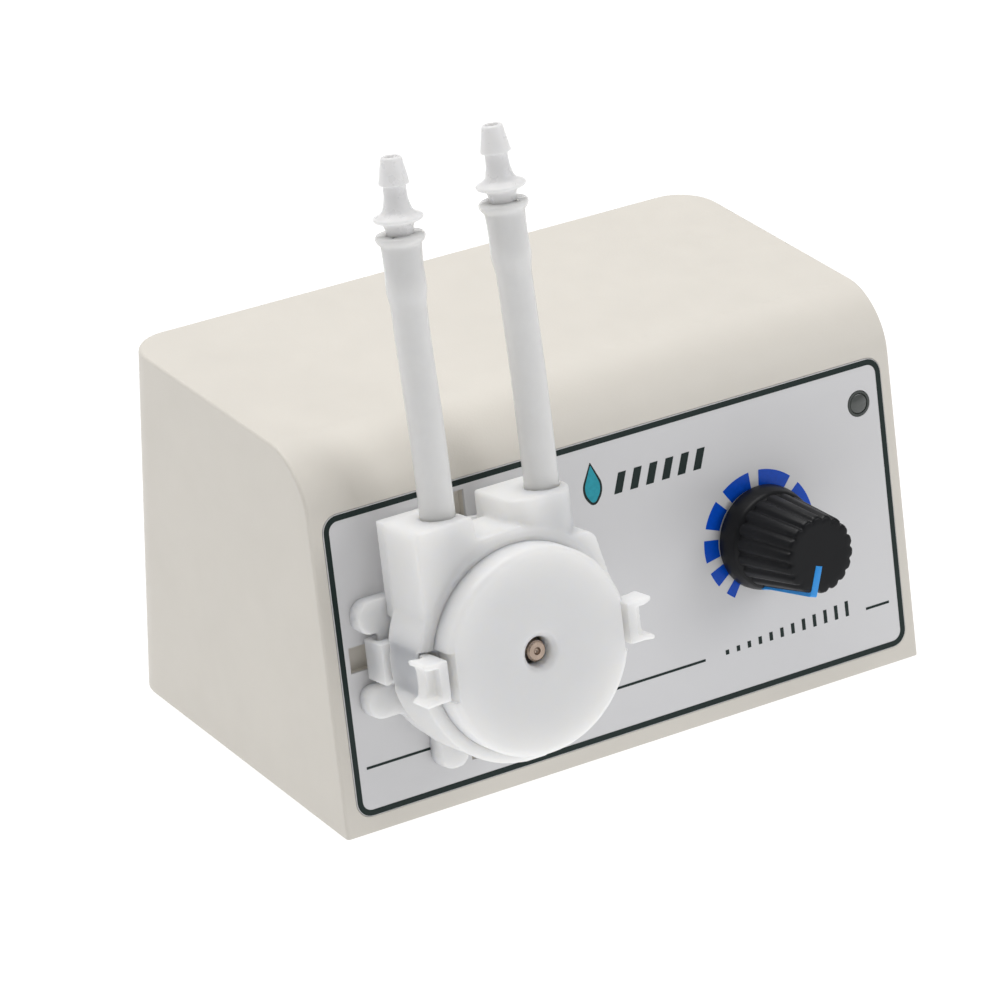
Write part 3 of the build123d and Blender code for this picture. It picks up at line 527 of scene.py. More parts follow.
def block(x: Point, y: Point, z: Point, rim: float = 0.0) -> Mesh:
    """Box between two limits on each axis, with rounded edges."""
    mesh = bmesh.new()
    size = Vector((x[1] - x[0], y[1] - y[0], z[1] - z[0]))
    middle = Vector((x[1] + x[0], y[1] + y[0], z[1] + z[0])) / 2
    bmesh.ops.create_cube(mesh, size=1, matrix=Matrix.Translation(middle) @ Matrix.Diagonal((*size, 1)))
    if rim:
        soften_edges(mesh, mesh.edges[:], rim)
    return mesh


def bar(radius: float, low: float, high: float, x: float = 0.0, y: float = 0.0, steps: int = 96) -> Mesh:
    """Round bar along z."""
    mesh = bmesh.new()
    middle = Matrix.Translation((x, y, (low + high) / 2))
    bmesh.ops.create_cone(
        mesh, cap_ends=True, segments=steps, radius1=radius, radius2=radius, depth=high - low, matrix=middle
    )
    return mesh


def turned(outline: Sequence[Corner], steps: int = 96, rounding_steps: int = 4) -> Mesh:
    """Closed outline of radius, height and rounding, spun about z.

    Args:
        outline: corners of the half section, in order.
        steps: segments of the turn.
        rounding_steps: segments of each rounding.

    Returns:
        A closed mesh.
    """
    mesh = bmesh.new()
    face = rounded_face(mesh, outline, rounding_steps)
    bmesh.ops.delete(mesh, geom=[face], context="FACES_ONLY")
    bmesh.ops.rotate(mesh, verts=mesh.verts[:], cent=(0, 0, 0), matrix=Matrix.Rotation(math.pi / 2, 3, "X"))
    on_axis = [e for e in mesh.edges if all(abs(v.co.x) < 1e-6 for v in e.verts)]
    bmesh.ops.delete(mesh, geom=on_axis, context="EDGES")
    bmesh.ops.spin(
        mesh, geom=mesh.verts[:] + mesh.edges[:], cent=(0, 0, 0), axis=(0, 0, 1),
        angle=2 * math.pi, steps=steps, use_merge=True, use_duplicate=False,
    )
    bmesh.ops.remove_doubles(mesh, verts=mesh.verts[:], dist=1e-5)
    bmesh.ops.recalc_face_normals(mesh, faces=mesh.faces[:])
    return mesh


def together(parts: Iterable[Mesh]) -> Mesh:
    """Several meshes in one, each still a shell of its own."""
    whole = bmesh.new()
    for part in parts:
        carrier = bpy.data.meshes.new("carrier")
        part.to_mesh(carrier)
        part.free()
        whole.from_mesh(carrier)
        bpy.data.meshes.remove(carrier)
    return whole


def moved(mesh: Mesh, place: Matrix) -> Mesh:
    """The mesh, transformed."""
    bmesh.ops.transform(mesh, matrix=place, verts=mesh.verts[:])
    return mesh


def mirrored(mesh: Mesh) -> Mesh:
    """The mesh, mirrored left to right and turned the right way out."""
    bmesh.ops.scale(mesh, vec=(-1, 1, 1), verts=mesh.verts[:])
    bmesh.ops.recalc_face_normals(mesh, faces=mesh.faces[:])
    return mesh


def as_object(name: str, mesh: Mesh, place: Matrix) -> Piece:
    """Object at the origin with its place in its mesh.

    Args:
        name: the object's name.
        mesh: its shape in local millimetres; it is used up.
        place: matrix to the row frame.

    Returns:
        The linked object.
    """
    moved(mesh, place)
    data = bpy.data.meshes.new(name)
    mesh.to_mesh(data)
    mesh.free()
    made = bpy.data.objects.new(name, data)
    bpy.context.scene.collection.objects.link(made)
    return made


def settle(made: Piece) -> None:
    """Apply an object's modifiers to its mesh."""
    bpy.context.view_layer.update()
    graph = bpy.context.evaluated_depsgraph_get()
    final = bpy.data.meshes.new_from_object(made.evaluated_get(graph))
    old = made.data
    made.modifiers.clear()
    made.data = final
    bpy.data.meshes.remove(old)


def combine(made: Piece, tool: Mesh, place: Matrix, how: str = "DIFFERENCE") -> None:
    """Cut a tool shape out of an object, or join it on.

    Args:
        made: object that is changed.
        tool: the tool's shape in local millimetres; it is used up.
        place: matrix to the row frame.
        how: DIFFERENCE or UNION.
    """
    cutter = as_object("cutter", tool, place)
    change = made.modifiers.new("cut", "BOOLEAN")
    change.operation = how
    change.solver = "EXACT"
    change.use_self = True
    change.object = cutter
    settle(made)
    data = cutter.data
    bpy.data.objects.remove(cutter)
    bpy.data.meshes.remove(data)


def melt(made: Piece, voxel_mm: float, passes: int, factor: float = 0.5) -> None:
    """Fuse an object's shells and soften its edges, as a soft-edged moulding.

    Args:
        made: object that is changed.
        voxel_mm: size of the new mesh's faces.
        passes: rounds of smoothing.
        factor: strength of each round.
    """
    fuse = made.modifiers.new("fuse", "REMESH")
    fuse.mode = "VOXEL"
    fuse.voxel_size = voxel_mm * MM
    if passes:
        smooth = made.modifiers.new("smooth", "SMOOTH")
        smooth.factor = factor
        smooth.iterations = passes
    settle(made)


def finish_piece(
    made: Piece, finish: str, body: Body, stands_for: Sequence[str] = (), sharp: float = 35.0
) -> Piece:
    """Shade, dress and hang a piece on its body.

    Args:
        made: the piece.
        finish: name of its finish.
        body: body that it rides on.
        stands_for: CAD nodes that it replaces.
        sharp: edges sharper than this stay crisp, in degrees.

    Returns:
        The piece.
    """
    made.data.materials.clear()
    made.data.materials.append(paint.get(finish))
    made.data.polygons.foreach_set("use_smooth", [True] * len(made.data.polygons))
    made.data.set_sharp_from_angle(angle=math.radians(sharp))
    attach(made, body.value)
    if stands_for:
        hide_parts(*stands_for)
    log.info("%s: %d faces on %s", made.name, len(made.data.polygons), body.value)
    return made


def weighted(made: Piece) -> None:
    """Let large flat faces set the shading of the narrow ones beside them."""
    change = made.modifiers.new("weighted", "WEIGHTED_NORMAL")
    change.keep_sharp = True
    change.weight = 80


# ---------------------------------------------------------------- studio
@dataclass(frozen=True)
class Studio:
    """Pale floor, soft light and a long-lens camera."""

    azimuth: float = -33.61
    elevation: float = 26.36
    roll: float = -0.13
    distance_mm: float = 868.9
    aim_mm: tuple[float, float, float] = (50.0, 30.0, 30.0)
    aim_left_mm: float = 3.65
    aim_down_mm: float = 2.65
    lens_widths: float = 5.9709
    sensor_mm: float = 36.0

    def camera(self) -> None:
        """Place the camera by angle and distance from the case's corner."""
        turn, lift = math.radians(self.azimuth), math.radians(self.elevation)
        right = Vector((math.cos(turn), math.sin(turn), 0))
        back = Vector((math.sin(turn) * math.cos(lift), -math.cos(turn) * math.cos(lift), math.sin(lift)))
        up = back.cross(right)
        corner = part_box("enclosure_shell")[0]
        aim = corner + MM * (Vector(self.aim_mm) - right * self.aim_left_mm - up * self.aim_down_mm)
        data = bpy.data.cameras.new("studio_camera")
        data.sensor_width = self.sensor_mm
        data.lens = self.lens_widths * self.sensor_mm
        data.clip_start = 0.01
        made = bpy.data.objects.new("studio_camera", data)
        bpy.context.scene.collection.objects.link(made)
        pose = Matrix((right, up, back)).transposed().to_4x4()
        pose = pose @ Matrix.Rotation(math.radians(self.roll), 4, "Z")
        pose.translation = aim + back * self.distance_mm * MM
        made.matrix_world = pose
        bpy.context.scene.camera = made

    def floor(self) -> None:
        """Wide pale floor under the feet."""
        mesh = bmesh.new()
        bmesh.ops.create_grid(mesh, x_segments=1, y_segments=1, size=3.0)
        made = as_object("studio_floor", mesh, Matrix.Identity(4))
        surface = Surface("studio_white", (0.25, 0.25, 0.25), 0.8)
        surface.relief(surface.noise(4.0), 0.01)
        surface.set(Emission_Color=(1.0, 1.0, 1.0, 1), Emission_Strength=0.88)
        made.data.materials.append(surface.material)

    def lamp(self, name: str, place: Sequence[float], size: float, power: float, warmth: Colour) -> None:
        """Square soft light aimed at the object.

        Args:
            name: the light's name.
            place: where it hangs, in metres.
            size: its side, in metres.
            power: its power, in watts.
            warmth: its colour.
        """
        data = bpy.data.lights.new(name, "AREA")
        data.size = size
        data.energy = power
        data.color = warmth
        made = bpy.data.objects.new(name, data)
        made.location = place
        aim = Vector((0, 0, 0.03)) - Vector(place)
        made.rotation_euler = aim.to_track_quat("-Z", "Y").to_euler()
        bpy.context.scene.collection.objects.link(made)

    def light(self) -> None:
        """Bright surroundings with a soft top light and one weak fill from the front right."""
        world = bpy.data.worlds.new("studio_world")
        world.use_nodes = True
        background = world.node_tree.nodes["Background"]
        background.inputs["Color"].default_value = (1.0, 0.99, 0.98, 1)
        background.inputs["Strength"].default_value = 0.33
        bpy.context.scene.world = world
        self.lamp("top_light", (-0.05, 0.30, 0.9), 0.8, 7.2, (1.0, 0.995, 0.99))
        self.lamp("front_light", (0.28, -0.38, 0.30), 0.22, 0.5, (0.985, 0.99, 1.0))
        scene = bpy.context.scene
        scene.view_settings.view_transform = "Standard"

    def build(self) -> None:
        """Set the whole studio up."""
        self.camera()
        self.floor()
        self.light()


# ---------------------------------------------------------------- case and printed front
@dataclass
class Case:
    """One-piece sloped moulding and the printed sheet on its front."""

    wall: float = 2.0
    top_front_radius: float = 10.0
    back_corner_radius: float = 6.5
    edge_radius: float = 0.5
    sheet_left: float = 2.15
    sheet_right: float = 1.9
    sheet_low: float = 2.4
    sheet_high: float = 46.8
    sheet_corner: float = 2.45
    sheet_thickness: float = 0.5
    sheet_recess: float = 0.4
    slot_reach: float = 19.65
    slot_width: float = 3.8
    slot_depth: float = 1.5
    motor_hole: float = 12.7
    bushing_hole: float = 3.6
    lens_hole: float = 1.98
    lens_inset: Point = (4.4, 6.3)
    jack_hole: float = 4.15

    def section(self, inset: float, size: Vector, lean: float) -> list[Corner]:
        """Side view, set in from the outer faces; x is depth and y is height.

        Args:
            inset: distance in from the outer faces.
            size: outer size of the case, in millimetres.
            lean: slope of the front, in radians.

        Returns:
            Corners with their roundings.
        """
        slant = inset / math.cos(lean)
        top, back = size.z - inset, size.y - inset
        low = -1.0 if inset else 0.0
        front_bend = self.top_front_radius * math.tan((math.pi / 2 - lean) / 2)
        return [
            (slant + low * math.tan(lean), low),
            (back, low),
            (back, top),
            (top * math.tan(lean) + slant, top, max(front_bend - inset, 0.5)),
        ]

    def case_prism(self, inset: float, size: Vector, lean: float) -> Mesh:
        """The side view run across the width, standing upright, with rounded back corners."""
        mesh = prism(self.section(inset, size, lean), inset, size.x - inset, steps=16)
        upright = Matrix(((0, 0, 1, 0), (1, 0, 0, 0), (0, 1, 0, 0), (0, 0, 0, 1)))
        moved(mesh, upright)
        at_back = [e for e in mesh.edges if min(v.co.y for v in e.verts) > size.y - inset - 0.01]
        corners = [e for e in at_back if abs(e.verts[0].co.z - e.verts[1].co.z) > 1.0]
        soften_edges(mesh, corners, self.back_corner_radius - inset, 12)
        return mesh

    def sheet_outline(self, width: float, grow: float = 0.0) -> list[Corner]:
        """Rounded outline of the printed sheet.

        Args:
            width: width of the case.
            grow: distance outside the sheet's own edge.

        Returns:
            Corners with their roundings.
        """
        left, right = self.sheet_left - grow, width - self.sheet_right + grow
        low, high = self.sheet_low - grow, self.sheet_high + grow
        bend = self.sheet_corner + grow
        return [(left, low, bend), (right, low, bend), (right, high, bend), (left, high, bend)]

    def openings(self, head: Vector, knob: Vector, lens: Point, low: float, high: float) -> Mesh:
        """Motor hole with its cross of slots, and the holes for the control and the light."""
        reach, half = self.slot_reach, self.slot_width / 2
        floor = max(low, -self.slot_depth)
        return together([
            bar(self.motor_hole, low, high, head.x, head.y),
            block((head.x - 15.8, head.x + 15.8), (head.y - half, head.y + half), (low, high)),
            block((head.x - half, head.x + half), (head.y - 15.8, head.y + 15.8), (low, high)),
            block((head.x - reach, head.x + reach), (head.y - half, head.y + half), (floor, high)),
            block((head.x - half, head.x + half), (head.y - reach, head.y + reach), (floor, high)),
            bar(self.bushing_hole, low, high, knob.x, knob.y, 48),
            bar(self.lens_hole, low, high, lens[0], lens[1], 48),
        ])

    def build(self) -> None:
        """Make the shell and the sheet."""
        low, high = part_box("enclosure_shell")
        size = (high - low) / MM
        lean = math.asin(places.normal.z)
        corner = Matrix.Translation(low) @ Matrix.Scale(MM, 4)
        front = places.front()
        head, knob = places.on_front(places.head()), places.on_front(places.knob())
        lens = (size.x - self.sheet_right - self.lens_inset[0], self.sheet_high - self.lens_inset[1])

        outer = self.case_prism(0, size, lean)
        rims = [e for e in outer.edges if e.calc_face_angle(0.0) > math.radians(30)]
        rims = [e for e in rims if max(v.co.z for v in e.verts) > 0.1]
        soften_edges(outer, rims, self.edge_radius, 4)
        shell = as_object("case_shell", outer, corner)
        combine(shell, self.case_prism(self.wall, size, lean), corner)
        combine(shell, prism(self.sheet_outline(size.x, 0.1), -self.sheet_recess, 1.0), front)
        combine(shell, self.openings(head, knob, lens, -4, 1), front)
        jack_low, jack_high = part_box("power_jack")
        middle = ((jack_low + jack_high) / 2 - low) / MM
        through = bar(self.jack_hole, -3, 3, steps=48)
        turn = Matrix.Translation((middle.x, size.y, middle.z)) @ Matrix.Rotation(math.pi / 2, 4, "X")
        combine(shell, moved(through, turn), corner)
        weighted(shell)
        finish_piece(shell, "case", Body.CASE, ["enclosure_shell"], 40)

        sheet_face = self.sheet_thickness - self.sheet_recess
        plate = prism(self.sheet_outline(size.x), -self.sheet_recess, sheet_face, 0.06)
        sheet = as_object("printed_sheet", plate, front)
        combine(sheet, self.openings(head, knob, lens, -1, 1), front)
        finish_piece(sheet, "sheet", Body.CASE, ["front_sheet"])
        self.lens(front @ Matrix.Translation((lens[0], lens[1], 0)))

    def lens(self, place: Matrix) -> None:
        """Domed light window with its darker rim."""
        dome = turned([(0, -5.9), (2.4, -5.9), (2.4, -2.3), (1.55, -2.2), (1.5, 0.1, 0.2), (0, 0.2)], 48)
        finish_piece(as_object("light_lens", dome, place), "lens", Body.CASE, ["indicator_led"])
        rim = turned([(1.55, -0.3), (1.9, -0.3), (1.9, 0.13, 0.05), (1.55, 0.13, 0.05)], 48)
        finish_piece(as_object("light_rim", rim, place), "lens_rim", Body.CASE)


@dataclass
class FrontPrint:
    """Ink on the sheet: border, rules, the dial and two plain marks in place of words."""

    sheet: Case
    ink_base: float = 0.1
    ink_top: float = 0.125
    border_width: float = 0.85
    border_inset: float = 0.1
    rule_up: float = 9.5
    rule_half: float = 0.19
    rule_spans: tuple[Point, ...] = ((4.4, 21.3), (25.7, 62.5), (91.4, 95.6))
    dial_inner: float = 7.25
    dial_outer: float = 9.75
    dial_start: float = 33.5
    dial_end: float = 326.5
    dial_steps: int = 8
    first_step: float = 10.0
    step_growth: float = 5.0
    mark_place: Point = (46.6, 37.0)
    drop_half: float = 2.1
    drop_height: float = 6.6
    bar_count: int = 6
    bar_pitch: float = 2.75
    bar_width: float = 1.35
    bar_height: float = 3.0
    wedge_span: Point = (66.4, 88.0)
    wedge_count: int = 12
    wedge_height: float = 2.3
    wedge_start: float = 0.7
    tick_half: float = 0.3

    def inked(self, name: str, parts: list[Mesh], place: Matrix, ink: str) -> None:
        """Make one printed piece out of several raised patches."""
        finish_piece(as_object(name, together(parts), place), ink, Body.CASE)

    def patch(self, corners: Sequence[Corner], steps: int = 5) -> Mesh:
        """One raised patch of ink."""
        return prism(corners, self.ink_base, self.ink_top, steps=steps)

    def border(self, width: float) -> Mesh:
        """Rounded frame along the sheet's edge."""
        mesh = bmesh.new()
        face = rounded_face(mesh, self.sheet.sheet_outline(width, -self.border_inset), 8)
        bmesh.ops.inset_region(
            mesh, faces=[face], thickness=self.border_width, use_even_offset=True, use_boundary=True
        )
        bmesh.ops.delete(mesh, geom=[face], context="FACES_ONLY")
        bmesh.ops.translate(mesh, verts=mesh.verts[:], vec=(0, 0, self.ink_base))
        raise_faces(mesh, self.ink_top - self.ink_base)
        return mesh

    def dial(self) -> list[Mesh]:
        """Ring of blocks that grow clockwise from the lowest setting."""
        widths = [self.first_step + self.step_growth * i for i in range(self.dial_steps)]
        gap = (self.dial_end - self.dial_start - sum(widths)) / (self.dial_steps - 1)
        blocks, start = [], self.dial_start
        for width in widths:
            mesh = bmesh.new()
            steps = max(3, round(width / 3))
            edge = [mesh.verts.new((0, -r, self.ink_base)) for r in (self.dial_inner, self.dial_outer)]
            line = mesh.edges.new(edge)
            turn = Matrix.Rotation(-math.radians(start), 3, "Z")
            bmesh.ops.rotate(mesh, verts=edge, cent=(0, 0, 0), matrix=turn)
            bmesh.ops.spin(
                mesh, geom=[*edge, line], cent=(0, 0, 0), axis=(0, 0, 1),
                angle=-math.radians(width), steps=steps, use_duplicate=False,
            )
            raise_faces(mesh, self.ink_top - self.ink_base)
            blocks.append(mesh)
            start += width + gap
        return blocks

    def droplet(self, shrink: float) -> Mesh:
        """Drop-shaped patch, set in from its outline."""
        x, y = self.mark_place
        half, tall = self.drop_half - shrink, self.drop_height - 1.8 * shrink
        low = y + 0.9 * shrink
        return self.patch([
            (x, low + tall, 0.15), (x - half, low + tall * 0.36, half * 0.75),
            (x, low - tall * 0.05, half * 0.6), (x + half, low + tall * 0.36, half * 0.75),
        ], 8)

    def slanted_bars(self) -> list[Mesh]:
        """Row of slanted bars beside the droplet."""
        x, y = self.mark_place
        left, bars = x + self.drop_half + 1.4, []
        for index in range(self.bar_count):
            low = left + index * self.bar_pitch
            high = low + self.bar_height * 0.35
            bars.append(self.patch([
                (low, y + 0.9), (low + self.bar_width, y + 0.9),
                (high + self.bar_width, y + 0.9 + self.bar_height), (high, y + 0.9 + self.bar_height),
            ]))
        return bars

    def flow_wedge(self) -> list[Mesh]:
        """Row of upright ticks that grow to the right."""
        (low, high), ticks = self.wedge_span, []
        step = (high - low) / (self.wedge_count - 1)
        for index in range(self.wedge_count):
            growth = (self.wedge_height - self.wedge_start) * index / (self.wedge_count - 1)
            x, tall = low + index * step, self.wedge_start + growth
            base, half = self.rule_up - self.rule_half, self.tick_half
            ticks.append(self.patch([
                (x - half, base), (x + half, base), (x + half, base + tall), (x - half, base + tall),
            ]))
        return ticks

    def build(self) -> None:
        """Print everything."""
        front = places.front()
        low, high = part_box("enclosure_shell")
        width = (high.x - low.x) / MM
        self.inked("print_border", [self.border(width)], front, "dark_ink")
        rules = [
            self.patch([(a, self.rule_up - self.rule_half), (b, self.rule_up - self.rule_half),
                        (b, self.rule_up + self.rule_half), (a, self.rule_up + self.rule_half)])
            for a, b in self.rule_spans
        ]
        self.inked("print_rules", rules, front, "dark_ink")
        self.inked("print_dial", self.dial(), places.knob(), "blue_ink")
        marks = [self.droplet(0), *self.slanted_bars(), *self.flow_wedge()]
        self.inked("print_marks", marks, front, "dark_ink")
        self.ink_base, self.ink_top = self.ink_top - 0.005, self.ink_top + 0.01
        self.inked("print_droplet", [self.droplet(0.5)], front, "accent_ink")


# ---------------------------------------------------------------- speed knob
@dataclass
class SpeedKnob:
    """Fluted control knob with a let-in pointer."""

    bottom: float = 0.9
    top: float = 15.3
    skirt_radius: float = 7.75
    skirt_neck: float = 7.15
    skirt_top: float = 4.3
    grip_low: float = 6.85
    grip_high: float = 5.75
    flutes: int = 18
    flute_depth: float = 0.42
    points_per_flute: int = 12
    cavity_radius: float = 6.1
    cavity_top: float = 6.0
    pointer_turn: float = 19.5
    pointer_half: float = 0.56
    pointer_inner: float = 1.6

    def grip(self) -> Mesh:
        """Tapered barrel with rounded-off grooves."""
        mesh = bmesh.new()
        count = self.flutes * self.points_per_flute
        bmesh.ops.create_circle(mesh, cap_ends=False, segments=count, radius=1.0)
        rings = [
            (self.skirt_top - 0.6, self.grip_low + 0.1, 1.0),
            (self.skirt_top + 0.3, self.grip_low, 1.0),
            ((self.skirt_top + self.top) / 2, (self.grip_low + self.grip_high) / 2, 1.0),
            (self.top - 0.55, self.grip_high + 0.03, 1.0),
            (self.top - 0.25, self.grip_high - 0.06, 0.95),
            (self.top - 0.07, self.grip_high - 0.22, 0.8),
            (self.top, self.grip_high - 0.45, 0.55),
            (self.top, self.grip_high - 1.3, 0.0),
        ]
        loop = mesh.edges[:]
        loops = []
        for index, (height, radius, depth) in enumerate(rings):
            if index:
                grown = bmesh.ops.extrude_edge_only(mesh, edges=loop)["geom"]
                loop = [g for g in grown if isinstance(g, Edge)]
            verts = {v for e in loop for v in e.verts}
            loops.append(verts)
            for vert in verts:
                angle = math.atan2(vert.co.y, vert.co.x)
                wave = (0.5 + 0.5 * math.cos(angle * self.flutes)) ** 3
                reach = radius - self.flute_depth * depth * wave
                vert.co = (reach * math.cos(angle), reach * math.sin(angle), height)
        bmesh.ops.holes_fill(mesh, edges=[e for e in mesh.edges if e.is_boundary], sides=0)
        bmesh.ops.recalc_face_normals(mesh, faces=mesh.faces[:])
        return mesh

    def skirt(self) -> Mesh:
        """Round foot of the knob, hollow underneath."""
        return turned([
            (0, self.cavity_top),
            (self.cavity_radius, self.cavity_top),
            (self.cavity_radius, self.bottom, 0.2),
            (self.skirt_radius, self.bottom, 0.3),
            (self.skirt_radius - 0.05, self.bottom + 1.3, 0.5),
            (self.skirt_neck, self.skirt_top - 0.1, 0.5),
            (self.grip_low - 0.6, self.skirt_top + 0.25, 0.2),
            (0, self.skirt_top + 0.25),
        ], 120, 5)

    def pointer(self) -> Mesh:
        """Raised line across the top and down the side."""
        half, lift = self.pointer_half, 0.45
        outline = [
            (self.pointer_inner, self.top - 0.8),
            (self.pointer_inner, self.top + 0.05, 0.05),
            (self.grip_high + lift - 0.1, self.top + 0.05, 0.25),
            (self.grip_high + lift, self.top - 0.3, 0.2),
            (self.grip_low + lift * 0.6, self.skirt_top + 0.3, 0.1),
            (self.skirt_neck + 0.25, self.skirt_top - 0.6, 0.1),
            (self.skirt_neck, self.skirt_top - 1.0),
            (self.grip_low - 0.8, self.skirt_top - 0.5),
            (self.grip_high - 0.8, self.top - 0.8),
        ]
        mesh = prism(outline, -half, half, 0.12, 4)
        upright = Matrix(((0, 0, 1, 0), (-1, 0, 0, 0), (0, 1, 0, 0), (0, 0, 0, 1)))
        return moved(moved(mesh, upright), Matrix.Rotation(-math.radians(self.pointer_turn), 4, "Z"))

    def build(self) -> None:
        """Make the knob and its pointer."""
        place = places.knob()
        turn = Matrix.Rotation(-math.radians(self.pointer_turn + 90), 4, "Z")
        barrel = moved(self.grip(), turn @ Matrix.Rotation(math.pi / self.flutes, 4, "Z"))
        knob = as_object("knob_grip", barrel, place)
        finish_piece(knob, "knob", Body.KNOB, ["knob"], 50)
        finish_piece(as_object("knob_skirt", self.skirt(), place), "knob", Body.KNOB, sharp=50)
        pointer = as_object("pointer_line", self.pointer(), place)
        finish_piece(pointer, "pointer", Body.KNOB, ["knob_pointer"], 50)


# ---------------------------------------------------------------- pump head
@dataclass
class PumpHead:
    """Base, housing, cover and latches of the clip-on head."""

    base_radius: float = 15.4
    ledge_radius: float = 16.4
    ledge_back: float = 2.0
    base_back: float = 0.15
    base_front: float = 3.0
    ear_reach: float = 19.0
    ear_half: float = 8.65
    notch_half: float = 3.85
    notch_floor: float = 15.6
    body_radius: float = 16.8
    skirt_radius: float = 15.2
    skirt_front: float = 5.6
    body_front: float = 14.2
    block_top: float = 20.2
    left_block: Point = (-15.0, -5.4)
    right_block: Point = (1.6, 12.2)
    right_front: float = 13.8
    right_round: float = 3.4
    valley_top: float = 17.0
    shoulder: Point = (13.8, 13.4)
    cover_radius: float = 15.0
    cover_front: float = 18.9
    hole_radius: float = 2.15
    tube_radius: float = 2.6
    tube_height: float = 9.3
    tube_axes: Point = (-8.2, 9.1)
    latch_half: float = 3.0
    arm_inner: float = 14.95
    arm_outer: float = 15.7
    hook_outer: float = 17.5
    tab_back: float = 14.8
    tab_front: float = 18.75
    groove_half: float = 3.25
    groove_floor: float = 14.05
    groove_wall: float = 16.15
    wall_low: float = 6.1
    wall_high: float = 13.3
    past_front: float = 20.0
    voxel: float = 0.24

    def housing(self) -> list[Mesh]:
        """Shells that fuse into the housing."""
        back, front = self.skirt_front, self.body_front
        left, left_end = self.left_block
        right, right_end = self.right_block
        reach, top = self.shoulder
        low = self.base_front + 0.05
        shoulder = [
            (left_end, 0), (self.body_radius - 0.1, 1.8, 0.2), (reach + 0.9, 9.6, 0.5),
            (reach, top, 1.6), (left_end, top),
        ]
        tower = [
            (right, low), (right_end, low),
            (right_end, self.right_front, self.right_round), (right, self.right_front, self.right_round),
        ]
        left_tower = [
            (left, 0), (left_end, 0), (left_end, self.block_top, 0.6), (left, self.block_top, 1.2),
        ]
        upright = Matrix(((1, 0, 0, 0), (0, 0, -1, 0), (0, 1, 0, 0), (0, 0, 0, 1)))
        tower_shape = moved(prism(tower, -self.block_top, -6, 0.4, 8), upright)
        bmesh.ops.recalc_face_normals(tower_shape, faces=tower_shape.faces[:])
        return [
            bar(self.body_radius, back, front),
            bar(self.body_radius - 0.9, front - 1, front + 0.4),
            bar(self.skirt_radius, low, back + 0.5),
            prism(left_tower, back, front),
            block((left + 0.4, left_end), (6, self.block_top - 0.3), (low, back + 0.5)),
            block((left_end - 0.5, right + 0.5), (0, self.valley_top), (back, front)),
            prism(shoulder, back, front),
            tower_shape,
        ]

    def housing_cuts(self) -> Mesh:
        """Everything that is taken out of the housing."""
        parts = [bar(11.6, 4.9, self.body_front + 2), bar(3.1, 0, 8), bar(10.15, 2, 3.9)]
        for x in self.tube_axes:
            hole = bar(self.tube_radius, 0, self.block_top + 2, steps=48)
            turn = Matrix.Translation((x, 0, self.tube_height)) @ Matrix.Rotation(-math.pi / 2, 4, "X")
            parts.append(moved(hole, turn))
        half = self.groove_half
        for side in (-1, 1):
            slot = sorted((side * self.groove_floor, side * self.groove_wall))
            reach = sorted((side * self.groove_floor, side * 30))
            parts.append(block(tuple(slot), (-half, half), (2.6, self.past_front)))
            parts.append(block(tuple(reach), (-half, half), (2.6, self.wall_low)))
            parts.append(block(tuple(reach), (-half, half), (self.wall_high, self.past_front)))
        return together(parts)

    def base(self) -> list[Mesh]:
        """Shells that fuse into the base with its four notched ears."""
        parts = [
            bar(self.base_radius, self.base_back, self.base_front),
            bar(self.ledge_radius, self.ledge_back, self.base_front),
        ]
        reach, half, notch = self.ear_reach, self.ear_half, self.notch_half
        for index in range(4):
            turn = Matrix.Rotation(index * math.pi / 2, 4, "Z")
            for side in (-1, 1):
                lobe = [(8, 0), (self.notch_floor, 0), (self.notch_floor, side * notch, 0.3),
                        (reach, side * notch, 1.9), (reach, side * half, 2.3), (8, side * half)]
                parts.append(moved(prism(lobe, self.base_back, self.base_front), turn))
            leg = block((13.6, 15.6), (-1.6, 1.6), (-4.2, 1.5))
            barb = block((13.6, 15.6), (-2.7, 2.7), (-3.9, -2.2))
            parts += [moved(leg, turn), moved(barb, turn)]
        return parts

    def cover(self) -> Mesh:
        """Round cover with a soft rim and a sunk hole in its middle."""
        low, front, radius = self.body_front + 0.05, self.cover_front, self.cover_radius
        return turned([
            (10.2, low),
            (radius, low, 0.2),
            (radius, front, 1.1),
            (2.95, front - 0.05, 0.25),
            (self.hole_radius, front - 0.75, 0.25),
            (self.hole_radius, front - 3.2),
            (10.2, front - 3.2),
        ], 160, 6)

    def latch(self) -> list[Mesh]:
        """Shells that fuse into the right latch: hooked arm, hub and finger tab."""
        half, inner, outer = self.latch_half, self.arm_inner, self.hook_outer
        tab, front = self.tab_back, self.tab_front
        web = [
            (inner, -half), (18.3, -half), (17.8, -1.2, 0.8), (17.8, 1.2, 0.8), (18.3, half), (inner, half),
        ]
        parts = [
            block((inner, self.arm_outer), (-half + 0.1, half - 0.1), (5.0, 15.2)),
            block((15.0, 16.4), (-half, half), (13.7, 15.2)),
            block((16.65, outer), (-half, half), (0.9, 5.5)),
            block((inner, outer), (-half, half), (3.4, 5.5)),
            block((15.65, outer), (-half, half), (0.9, 1.85)),
            block((inner, 16.4), (-half, half), (tab, front)),
            prism(web, tab, 17.2),
        ]
        for side in (-1, 1):
            ear = [(inner, side * half), (17.6, side * half, 0.6), (18.95, side * (half + 0.25), 0.3),
                   (18.95, side * (half - 0.45), 0.3), (17.9, side * (half - 0.9), 0.5),
                   (inner, side * (half - 0.9))]
            parts.append(prism(ear, tab, front))
        pin = bar(0.75, -half, half, steps=32)
        turn = Matrix.Translation((15.1, 0, 9.5)) @ Matrix.Rotation(math.pi / 2, 4, "X")
        parts.append(moved(pin, turn))
        return parts

